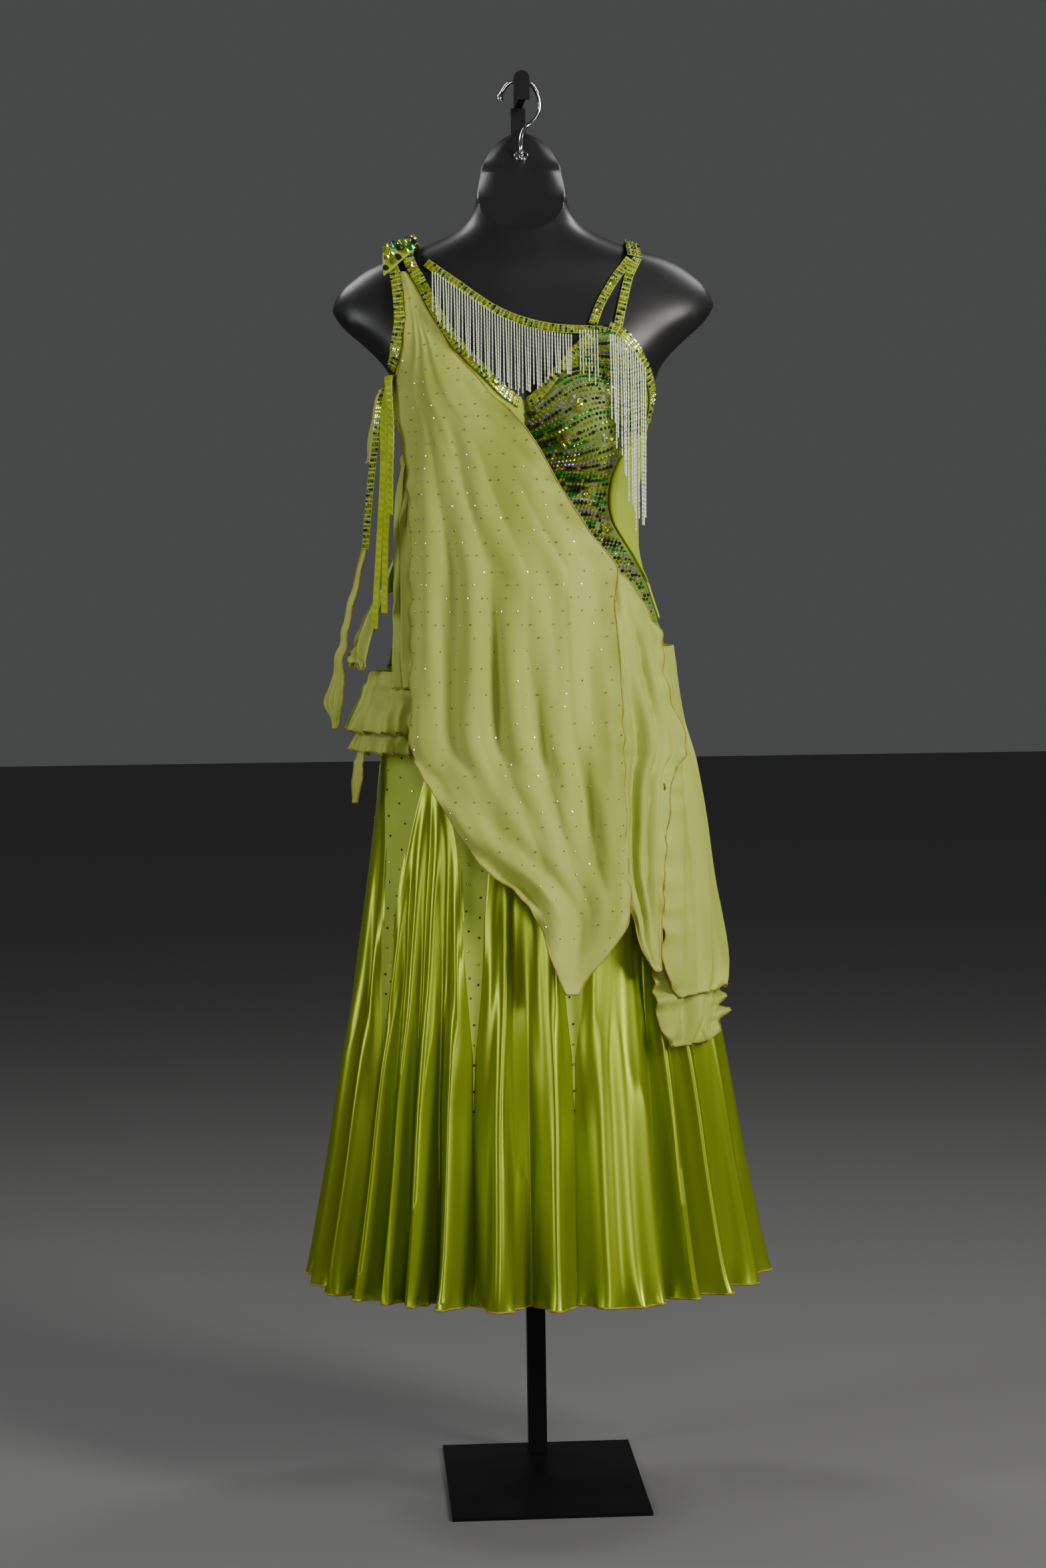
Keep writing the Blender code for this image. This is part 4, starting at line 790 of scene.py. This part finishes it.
def makeSkirt(materials, stones):
    look = skirtLook
    places = []
    for index in range(1, 10):
        node = f"skirt_godet_{index}"
        settings = {"thick": 0.0009, "material": "satin", "slot": "lime_satin", "hem": ("low",),
                    "hemRadius": 0.0014, "held": "hung", "rests": "bodice_front_left"}
        grid = gridOrPlain(node, walls["cloth"], settings, materials, "godet")
        if grid is None:
            continue
        wide = lengthsAcross(grid)[0, -1]
        columns = int(wide / look["godetColumnStep"])
        points = refined(grid, look["godetRows"], columns, low=1.35)
        scale = 0.8 + 0.4 * ((index * 5) % 9) / 9
        points = deepened(points, look["fluteGain"], look["fluteSpread"])
        points = creased(points, godetCreases, scale, 0.03 * ((index * 7) % 5 - 2) / 2)
        points = curled(points, ("low",), look["curlPeriod"], look["curlDeep"], look["curlFall"])
        points = widened(points, look["sideReach"], look["sideUnder"])
        clothPiece(node, points, settings, materials)
    for index in range(1, 10):
        node = f"skirt_gore_{index}"
        settings = {"thick": 0.0010, "material": "jersey", "slot": "green_jersey", "held": "hung",
                    "rests": "bodice_front_left"}
        grid = gridOrPlain(node, walls["cloth"], settings, materials)
        if grid is None:
            continue
        points = pointed(refined(grid, look["goreRows"], look["goreColumns"]), look["gorePoint"])
        clothPiece(node, points, settings, materials)
        places += goreStones(points, look)
    setStones("stones_gores", places, stones)
    print("skirt done")


def goreStones(points, look):
    # Sparse dark stones in one, two or three files down a gore, as its width allows.
    u, width = shares(points)[::2]
    normals = gridNormals(points)
    heights = lengthsAlong(points).mean(axis=1)
    places = []
    count = int((heights[-1] - 0.02) / look["stonePitch"])
    for k in range(count):
        height = 0.012 + k * look["stonePitch"]
        row = nearest(heights, height)
        wide = width[row, 0]
        if wide < 0.014:
            files = (0.5,)
        elif wide < 0.05:
            files = (0.24 + 0.02 * (k % 3), 0.76)
        else:
            files = (0.14 + 0.03 * (k % 2), 0.5, 0.84)
        for f, share in enumerate(files):
            column = nearest(u[row], share)
            shiftRow = min(row + f * 2, len(points) - 1)
            size = look["stoneSize"]
            colour = ("blackDiamond", "darkGreen", "blackDiamond", "peridot")[(k + f) % 4]
            places.append((points[shiftRow, column], normals[shiftRow, column], (1.0, 0.0, 0.2),
                           size, size, size * 0.45, colour))
    return places


# Bodice

bodiceLook = {
    "stoneSize": 0.0048,
    "rowPitch": 0.0053,
    "stonePitch": 0.0048,
    "rowSlope": math.radians(28.0),
    "clear": 0.0060,
    "sprayTurn": 34.0,
    "sprayReach": 0.0085,
    "longStone": (0.0130, 0.0062, 0.0030),
}
# Creases across the bodice, where the jersey pulls: as for the godets
bodiceCreases = (
    (0.10, 0.05, 0.30, 0.60, 0.006, 0.0009),
    (0.35, 0.00, 0.45, 0.45, 0.008, -0.0008),
    (0.60, 0.10, 0.52, 0.55, 0.006, 0.0009),
    (0.82, 0.00, 0.70, 0.50, 0.007, -0.0008),
)
# Sprays of long stones on the right front: across, height, direction in degrees, stones
sprays = (
    (0.052, 1.262, 20.0, 4),
    (0.102, 1.272, 115.0, 4),
    (0.040, 1.226, -28.0, 3),
    (0.092, 1.218, 65.0, 4),
    (0.066, 1.172, -40.0, 3),
    (0.088, 1.118, 60.0, 3),
)


def frontHit(trees, across, height):
    # Nearest of the nodes seen from the front at a place: its name, point and normal.
    best = None
    for name, tree in trees.items():
        point, normal = tree.ray_cast(Vector((across, -1.0, height)), Vector((0, 1, 0)))[:2]
        if point is not None and (best is None or point.y < best[1].y):
            best = (name, point, normal)
    return best


def nodeTree(node):
    return BVHTree.FromPolygons(*weldedMesh(node))


def makeBodice(materials, stones):
    base = {"thick": 0.0010, "held": "stretched", "rests": "form_torso"}
    for node, rows, columns, material, slot in (
        ("bodice_front_left", 70, 40, "jersey", "stoned_jersey"),
        ("bodice_front_right", 70, 44, "stoned", "stoned_jersey"),
        ("side_panel_right", 40, 24, "jersey", "green_jersey"),
        ("bodice_back_left", 50, 40, "jersey", "green_jersey"),
        ("bodice_back_right", 50, 40, "jersey", "green_jersey"),
    ):
        settings = dict(base, material=material, slot=slot)
        grid = gridOrPlain(node, walls["cloth"], settings, materials)
        if grid is None:
            continue
        clothPiece(node, creased(refined(grid, rows, columns), bodiceCreases), settings, materials)
    piping = smoothCopy("lime_piping", "piping_right", 2, materials["strip"])
    dress(piping, "piping_right")
    setStones("stones_front_right", frontStones(), stones)
    print("bodice done")


def frontStones():
    # Slanting rows of small stones with a few sprays of long ones, where the right front shows.
    look = bodiceLook
    names = ("bodice_front_right", "band_neck_right", "band_armhole_right", "piping_right", "float_front",
             "hip_float_front", "side_panel_right")
    trees = {name: nodeTree(name) for name in names}
    places = []
    taken = []
    for across, height, turn, count in sprays:
        for k in range(count):
            angle = math.radians(turn + (k - (count - 1) / 2) * look["sprayTurn"])
            x = across + look["sprayReach"] * math.cos(angle)
            z = height + look["sprayReach"] * math.sin(angle)
            hit = frontHit(trees, x, z)
            if hit is None or hit[0] != "bodice_front_right":
                continue
            ahead = (math.cos(angle), 0.0, math.sin(angle))
            colour = ("gold", "peridot", "gold", "crystal")[k % 4]
            places.append((hit[1], hit[2], ahead, *look["longStone"], colour))
            taken.append((x, z))
    colours = ("darkGreen", "blackDiamond", "peridot", "darkGreen", "emerald", "gold", "blackDiamond",
               "violet", "peridot", "darkGreen", "crystal", "emerald")
    slope = look["rowSlope"]
    for row in range(-14, 82):
        for k in range(-6, 52):
            s = k * look["stonePitch"] + 0.0018 * math.sin(row * 2.1)
            bend = 0.022 * math.sin(s / 0.052 + 0.35) + 0.006 * math.sin(s / 0.021 + row * 0.2)
            x = s * math.cos(slope) - 0.030
            z = 0.985 + row * look["rowPitch"] + s * math.sin(slope) + bend
            hit = frontHit(trees, x, z)
            if hit is None or hit[0] != "bodice_front_right" or hit[2].y > -0.1:
                continue
            if any(abs(x - a) < look["clear"] and abs(z - b) < look["clear"] for a, b in taken):
                continue
            inside = True
            for dx, dz in ((-0.003, 0.0), (0.003, 0.0), (0.0, -0.003), (0.0, 0.003)):
                near = frontHit(trees, x + dx, z + dz)
                inside = inside and near is not None and near[0] == "bodice_front_right"
            if not inside:
                continue
            size = look["stoneSize"] * (0.82 + 0.28 * ((row * 3 + k) % 4) / 3)
            colour = colours[(row + k // 9) % len(colours)]
            if (row * 5 + k) % 7 == 0:
                colour = "gold"
            places.append((hit[1], hit[2], (math.cos(slope), 0.0, math.sin(slope)), size, size,
                           size * 0.5, colour))
    print("front stones", len(places))
    return places


# Stoned bands

bandLook = {
    "rowPitch": 0.0036,
    "stoneSize": 0.0035,
    "ovalPitch": 0.036,
    "ovalLength": 0.0115,
    "ovalWidth": 0.0078,
    "ovalHeight": 0.0036,
    "rowStep": 0.0022,
    "columns": 11,
}
# Each band: rows of small stones across it, whether long stones sit along its middle, what it rests on
bands = (
    ("band_neck_left", 4, True, "bodice_front_left"),
    ("band_armhole_left", 4, False, "bodice_front_left"),
    ("band_neck_right", 4, False, "bodice_front_right"),
    ("band_armhole_right", 4, False, "bodice_front_right"),
    ("necklace_band", 3, False, "form_torso"),
    ("strap_inner", 3, True, "form_torso"),
    ("strap_outer", 3, False, "form_torso"),
    ("strap_back_right", 4, False, "form_torso"),
    ("edge_strap_left", 3, False, "bodice_front_left"),
)

# More length at a band's first and last row, to where it is sewn on
bandReach = {
    "necklace_band": (0.030, 0.0),
    "strap_inner": (0.006, 0.016),
    "strap_outer": (0.004, 0.016),
    "strap_back_right": (0.0, 0.012),
}


def bandStones(points, rows, ovals, salt):
    # Files of small stones along a band, with long ones at intervals along its middle.
    look = bandLook
    normals = gridNormals(points)
    along = lengthsAlong(points).mean(axis=1)
    u = shares(points)[0]
    middle = points.shape[1] // 2
    ovalMarks = []
    places = []
    if ovals:
        count = int(along[-1] / look["ovalPitch"])
        for k in range(count):
            mark = look["ovalPitch"] * (k + 0.55)
            row = nearest(along, mark)
            ahead = points[min(row + 2, len(points) - 1), middle] - points[max(row - 2, 0), middle]
            places.append((points[row, middle], normals[row, middle], ahead, look["ovalLength"],
                           look["ovalWidth"], look["ovalHeight"], ("gold", "peridot")[k % 2]))
            ovalMarks.append(mark)
    colours = ("peridot", "crystal", "gold", "peridot", "blackDiamond", "gold", "crystal", "peridot",
               "gold", "darkGreen", "peridot")
    step = 0
    mark = look["rowPitch"] / 2
    while mark < along[-1] - 0.001:
        row = nearest(along, mark)
        ahead = points[min(row + 2, len(points) - 1), middle] - points[max(row - 2, 0), middle]
        for f in range(rows):
            share = (f + 0.5) / rows
            if any(abs(mark - oval) < look["ovalLength"] / 2 + 0.001 for oval in ovalMarks):
                if 0.2 < share < 0.8:
                    continue
            column = nearest(u[row], share)
            size = look["stoneSize"] * (0.85 + 0.2 * ((step * 3 + f * 5 + salt) % 4) / 3)
            colour = colours[(step * 3 + f * 5 + salt) % len(colours)]
            places.append((points[row, column], normals[row, column], ahead, size, size, size * 0.5, colour))
        step += 1
        mark += look["rowPitch"]
    return places


def makeBands(materials, stones):
    for salt, (node, rows, ovals, rests) in enumerate(bands):
        settings = {"thick": 0.0012, "material": "backing", "slot": "stone_band", "held": "stretched",
                    "rests": rests}
        kind = "strip" if node == "edge_strap_left" else "band"
        grid = gridOrPlain(node, walls["band"], settings, materials, kind)
        if grid is None:
            continue
        length = lengthsAlong(grid)[-1].mean()
        points = refined(grid, max(int(length / bandLook["rowStep"]), 12), bandLook["columns"])
        points = lengthened(points, *bandReach.get(node, (0.0, 0.0)))
        jewels = setStones("stones_" + node, bandStones(points, rows, ovals, salt), stones)
        clothPiece(node, points, settings, materials, [jewels])
    makeOrnament(materials, stones)
    print("bands done")


ornamentLook = {
    "rows": 30,
    "columns": 20,
    "stoneStep": 4,
    "stoneSize": 0.0070,
    "sizeSpread": 0.0018,
}


def makeOrnament(materials, stones):
    # Cluster of large stones over the left shoulder.
    node = "shoulder_ornament_left"
    settings = {"thick": 0.0016, "material": "backing", "slot": "stone_band", "held": "stretched",
                "rests": "band_neck_left"}
    grid = gridOrPlain(node, walls["cluster"], settings, materials)
    if grid is None:
        return
    look = ornamentLook
    points = refined(grid, look["rows"], look["columns"])
    normals = gridNormals(points)
    colours = ("darkGreen", "peridot", "blackDiamond", "peridot", "emerald", "gold", "peridot")
    places = []
    k = 0
    for row in range(2, look["rows"] - 1, look["stoneStep"]):
        for column in range(2, look["columns"] - 1, look["stoneStep"]):
            size = look["stoneSize"] + look["sizeSpread"] * ((k * 5) % 3) / 2
            spot = (row, min(column + k % 2, look["columns"] - 1))
            places.append((points[spot], normals[spot], (0.3, -1.0, 0.2), size * 1.2, size,
                           size * 0.62, colours[k % 7]))
            k += 1
    jewels = setStones("stones_ornament", places, stones, sides=8)
    clothPiece(node, points, settings, materials, [jewels])


# Chiffon. Creases as for the godets: share across and up at the start and at the end, width, depth
floatCreases = (
    (0.12, 0.34, 0.20, 0.80, 0.012, 0.0036),
    (0.22, 0.24, 0.30, 0.86, 0.009, -0.0036),
    (0.30, 0.16, 0.38, 0.78, 0.014, 0.0046),
    (0.40, 0.10, 0.46, 0.84, 0.009, -0.0040),
    (0.48, 0.03, 0.52, 0.72, 0.015, 0.0050),
    (0.57, 0.06, 0.61, 0.80, 0.009, -0.0040),
    (0.65, 0.02, 0.69, 0.62, 0.013, 0.0046),
    (0.74, 0.06, 0.78, 0.74, 0.008, -0.0034),
    (0.83, 0.06, 0.86, 0.60, 0.012, 0.0036),
    (0.24, 0.70, 0.34, 1.00, 0.006, 0.0022),
    (0.42, 0.66, 0.47, 1.00, 0.006, 0.0020),
    (0.60, 0.72, 0.62, 1.00, 0.006, 0.0018),
    (0.33, 0.24, 0.37, 0.52, 0.005, -0.0020),
    (0.69, 0.22, 0.71, 0.50, 0.005, -0.0018),
    (0.50, 0.80, 0.80, 0.97, 0.006, 0.0010),
)
hangCreases = (
    (0.12, 0.00, 0.20, 0.85, 0.009, 0.0050),
    (0.27, 0.00, 0.33, 1.00, 0.006, -0.0056),
    (0.41, 0.00, 0.46, 0.75, 0.010, 0.0054),
    (0.56, 0.05, 0.58, 0.95, 0.006, -0.0058),
    (0.70, 0.00, 0.69, 0.80, 0.009, 0.0048),
    (0.85, 0.00, 0.82, 0.90, 0.006, -0.0046),
)
# Each hanging piece: rows, columns, curled edges, depth, length and reach of the curl, creases, support
hangings = (
    ("float_front", 190, 96, ("left", "low", "right"), 0.0024, 0.046, 0.014, floatCreases, "band_neck_left"),
    ("float_front_under", 70, 18, ("low", "left"), 0.0020, 0.040, 0.010, hangCreases, "bodice_front_left"),
    ("hip_float_front", 120, 44, ("low", "left", "right"), 0.0034, 0.038, 0.014, hangCreases,
     "bodice_front_right"),
    ("hip_float_side", 100, 64, ("low", "left"), 0.0050, 0.036, 0.018, hangCreases, "side_panel_right"),
    ("cascade_right", 40, 76, ("low", "left", "right"), 0.0085, 0.027, 0.026, hangCreases, "hip_float_side"),
    ("hip_float_left", 44, 60, ("low", "left"), 0.0060, 0.034, 0.020, hangCreases, "bodice_front_left"),
    ("ruffle_left_upper", 30, 84, ("low", "left", "right"), 0.0085, 0.026, 0.028, (), "skirt_gore_1"),
    ("ruffle_left_lower", 28, 84, ("low", "left", "right"), 0.0085, 0.023, 0.026, (), "skirt_gore_1"),
    ("tail_float_left", 70, 18, ("low", "left", "right"), 0.0034, 0.040, 0.012, hangCreases,
     "edge_strap_left"),
    ("small_tail_left", 26, 10, ("low", "left", "right"), 0.0024, 0.024, 0.010, (), "ruffle_left_lower"),
    ("back_drape_left", 34, 18, ("low", "left", "right"), 0.0024, 0.034, 0.012, hangCreases,
     "edge_strap_left"),
)


floatLook = {
    "stoneRows": 52,
    "stoneSize": 0.0026,
    "upperPitch": 0.017,
    "lowerPitch": 0.026,
    "calmSpread": 6.0,
    "calmReach": 0.030,
}


def floatStones(points):
    # Tiny stones scattered over the float, thinning out downwards.
    normals = gridNormals(points)
    u, v, width = shares(points)
    heights = v[:, 0]
    places = []
    look = floatLook
    for k in range(look["stoneRows"]):
        share = 0.06 + 0.90 * k / (look["stoneRows"] - 1)
        row = nearest(heights, share)
        pitch = look["upperPitch"] if share > 0.5 else look["lowerPitch"]
        count = int(width[row, 0] / pitch)
        for m in range(count):
            spot = (m + 0.5 + 0.3 * math.sin(k * 2.7 + m * 1.9)) / max(count, 1)
            column = nearest(u[row], spot)
            if (k * 3 + m * 5) % 7 == 0:
                continue
            size = look["stoneSize"]
            places.append((points[row, column], normals[row, column], (1.0, 0.0, 0.3), size, size,
                           size / 2, ("gold", "crystal", "crystal")[(k + m) % 3]))
    return places


def makeChiffon(materials, stones):
    for node, rows, columns, edges, deep, period, fall, creases, rests in hangings:
        settings = {"thick": 0.0005, "material": "chiffon", "slot": "green_chiffon", "hem": edges,
                    "hemRadius": 0.0010, "held": "hung", "rests": rests}
        grid = gridOrPlain(node, walls["chiffon"], settings, materials)
        if grid is None:
            continue
        points = refined(grid, rows, columns, low=1.15, side=1.25)
        if rows > 90:
            points = calmed(points, floatLook["calmSpread"], floatLook["calmReach"])
        points = creased(points, creases)
        points = curled(points, edges, period, deep, fall)
        extras = []
        if node == "float_front":
            extras.append(setStones("stones_float", floatStones(points), stones))
        clothPiece(node, points, settings, materials, extras)
    print("chiffon done")


stripLook = {
    "rows": 150,
    "columns": 9,
    "dimplePitch": 0.0085,
    "dimpleDeep": 0.0007,
}


def makeStrips(materials):
    # Three lime strips, dimpled along their length.
    for node in ("strip_left_long", "strip_left_middle", "strip_left_short"):
        settings = {"thick": 0.0009, "material": "strip", "slot": "lime_piping", "held": "hung",
                    "rests": "edge_strap_left"}
        grid = gridOrPlain(node, walls["chiffon"], settings, materials, "strip")
        if grid is None:
            continue
        points = refined(grid, stripLook["rows"], stripLook["columns"])
        ripple = np.sin(2 * math.pi * lengthsAlong(points) / stripLook["dimplePitch"])
        dimple = stripLook["dimpleDeep"] * ripple * np.sin(math.pi * shares(points)[0])
        points = points + gridNormals(points) * dimple[:, :, None]
        clothPiece(node, points, settings, materials)
    print("strips done")


# Bead fringes. Each: node, strands, bead length, bead radius, uneven length
fringes = (
    ("fringe_front", 52, 0.0046, 0.00075, 0.006),
    ("fringe_side", 15, 0.0046, 0.00085, 0.020),
)

# Strands over the right cup, between the two fringes: across, top and length, cut to whole beads
cupStrands = (
    (0.0640, 1.3480, 0.047),
    (0.0672, 1.3484, 0.054),
    (0.0703, 1.3487, 0.044),
    (0.0738, 1.3489, 0.060),
    (0.0770, 1.3490, 0.052),
    (0.0806, 1.3491, 0.066),
    (0.0838, 1.3491, 0.058),
)


# Share of the pitch that a bead takes, how far every second strand stands out, how far a strand
# leans, and how far the cup's strands stand off it
fringeLook = {
    "beadShare": 0.93,
    "stagger": 0.0003,
    "lean": 0.0012,
    "cupGap": 0.0022,
}


def makeFringes(materials):
    look = fringeLook
    for node, strands, beadLength, beadRadius, uneven in fringes:
        corners, faces = weldedMesh(node)
        tree = BVHTree.FromPolygons(corners, faces)
        cloud = np.array(corners)
        low, high = cloud[:, 0].min() + 0.001, cloud[:, 0].max() - 0.001
        reach = (high - low) / strands * 2.2 + 0.001
        vertices = []
        beadFaces = []
        for k in range(strands):
            across = low + (high - low) * (k + 0.5) / strands
            near = cloud[np.abs(cloud[:, 0] - across) < reach]
            top, bottom = near[:, 2].max() - 0.001, near[:, 2].min()
            bottom += uneven * (0.5 + 0.5 * math.sin(k * 2.4)) * (0.4 + 0.6 * ((k * 7) % 5) / 4)
            height = top
            lean = look["lean"] * math.sin(k * 1.7)
            while height > bottom:
                part = (top - height) / max(top - bottom, 0.001)
                x = across + lean * part
                touch = tree.find_nearest(Vector((x, -0.15, height - beadLength / 2)))[0]
                y = touch.y - look["stagger"] * (k % 2)
                addBead(vertices, beadFaces, (x, y, height), beadLength * look["beadShare"], beadRadius)
                height -= beadLength
        if node == "fringe_front":
            trees = {name: nodeTree(name) for name in ("bodice_front_right", "band_neck_right")}
            for k, (across, top, drop) in enumerate(cupStrands):
                for step in range(int(drop / beadLength)):
                    height = top - step * beadLength
                    hit = frontHit(trees, across, height - beadLength / 2)
                    y = hit[1].y - look["cupGap"] - look["stagger"] * (k % 2) if hit else -0.098
                    addBead(vertices, beadFaces, (across, y, height), beadLength * look["beadShare"],
                            beadRadius)
        piece = addObject("beads_" + node, vertices, beadFaces, [materials["bead"]], smooth=False)
        dress(piece, node)
    print("fringes done")


def addBead(vertices, faces, top, length, radius):
    # Six-sided tube bead hanging from its top.
    base = len(vertices)
    for drop, share in ((0.0, 0.75), (0.12, 1.0), (0.88, 1.0), (1.0, 0.75)):
        for k in range(6):
            turn = math.pi * k / 3
            out = radius * share
            vertices.append((top[0] + out * math.cos(turn), top[1] + out * math.sin(turn),
                             top[2] - length * drop))
    for ring in range(3):
        for k in range(6):
            n = (k + 1) % 6
            faces.append((base + ring * 6 + n, base + ring * 6 + k, base + ring * 6 + 6 + k,
                          base + ring * 6 + 6 + n))
    faces.append(tuple(base + k for k in range(6)))
    faces.append(tuple(base + 18 + k for k in range(6))[::-1])


# Form and stand

formLook = {
    "chromeSwell": 0.0001,
    "softEdge": 0.0006,
    "edgeSegments": 2,
}


def makeForm(materials):
    form = smoothCopy("form_body", "form_torso", 2, materials["form"])
    dress(form, "form_torso")
    for node, levels, quads in (("hook", 0, False), ("hook_washer", 2, True)):
        piece = smoothCopy("chrome_" + node, node, levels, materials["chrome"],
                           swell=formLook["chromeSwell"], quads=quads)
        dress(piece, node)
    for node in ("base_plate", "column_lower", "column_upper", "hanger_arm"):
        for holder in nodes[node].material_slots:
            holder.material = materials["stand"]
        edge = nodes[node].modifiers.new("soft edges", "BEVEL")
        edge.width = formLook["softEdge"]
        edge.segments = formLook["edgeSegments"]
        edge.limit_method = "ANGLE"
    print("form and stand done")


# Floor, light and camera

studio = {
    "floor": (0.17, 0.17, 0.168),
    "air": (0.70, 0.71, 0.72),
    "airStrength": 0.10,
}
# Soft lights: place, width, height, watts, colour
lights = (
    ((2.1, -1.9, 2.0), 0.8, 1.5, 88.0, (1.0, 0.98, 0.94)),
    ((-2.4, -1.2, 1.6), 0.6, 1.6, 26.0, (0.96, 0.98, 1.0)),
    ((1.3, 1.0, 2.9), 0.6, 0.9, 18.0, (1.0, 1.0, 1.0)),
    ((-1.3, 1.0, 2.9), 0.6, 0.9, 18.0, (1.0, 1.0, 1.0)),
    ((0.5, -3.6, 1.6), 0.7, 1.6, 20.0, (1.0, 1.0, 1.0)),
)
view = {
    "place": (-0.008, -3.9, 1.08),
    "pitch": math.radians(3.7),
    "roll": math.radians(-0.85),
    "lens": 76.6,
}


def makeStudio():
    world = bpy.data.worlds.new("air")
    world.use_nodes = True
    air = world.node_tree.nodes["Background"]
    air.inputs["Color"].default_value = (*studio["air"], 1.0)
    air.inputs["Strength"].default_value = studio["airStrength"]
    bpy.context.scene.world = world
    material = newMaterial("floorDark", studio["floor"], 0.75)
    floor = addObject("floor", [(-15, -15, 0), (15, -15, 0), (15, 15, 0), (-15, 15, 0)], [(0, 1, 2, 3)],
                      [material])
    floor.location.z = -0.0002
    for k, (place, width, height, watts, colour) in enumerate(lights):
        lamp = bpy.data.lights.new(f"softbox_{k}", "AREA")
        lamp.shape = "RECTANGLE"
        lamp.size = width
        lamp.size_y = height
        lamp.energy = watts
        lamp.color = colour
        holder = linked(f"softbox_{k}", lamp)
        holder.location = place
        aim = Vector((0.0, 0.0, 0.9)) - Vector(place)
        holder.rotation_euler = aim.to_track_quat("-Z", "Y").to_euler()
    ahead = Vector((0.0, math.cos(view["pitch"]), -math.sin(view["pitch"])))
    right = Vector((1.0, 0.0, 0.0))
    up = right.cross(ahead)
    side = right * math.cos(view["roll"]) + up * math.sin(view["roll"])
    top = up * math.cos(view["roll"]) - right * math.sin(view["roll"])
    turn = Matrix((side, top, -ahead)).transposed()
    camera = bpy.data.cameras.new("camera")
    camera.sensor_fit = "VERTICAL"
    camera.sensor_height = 36.0
    camera.lens = view["lens"]
    holder = linked("camera", camera)
    holder.matrix_world = Matrix.Translation(view["place"]) @ turn.to_4x4()
    bpy.context.scene.camera = holder


makeStudio()
materials = makeMaterials()
stones = makeStoneMaterials()
makeForm(materials)
makeBodice(materials, stones)
makeSkirt(materials, stones)
makeBands(materials, stones)
makeChiffon(materials, stones)
makeStrips(materials)
makeFringes(materials)
bpy.context.view_layer.update()
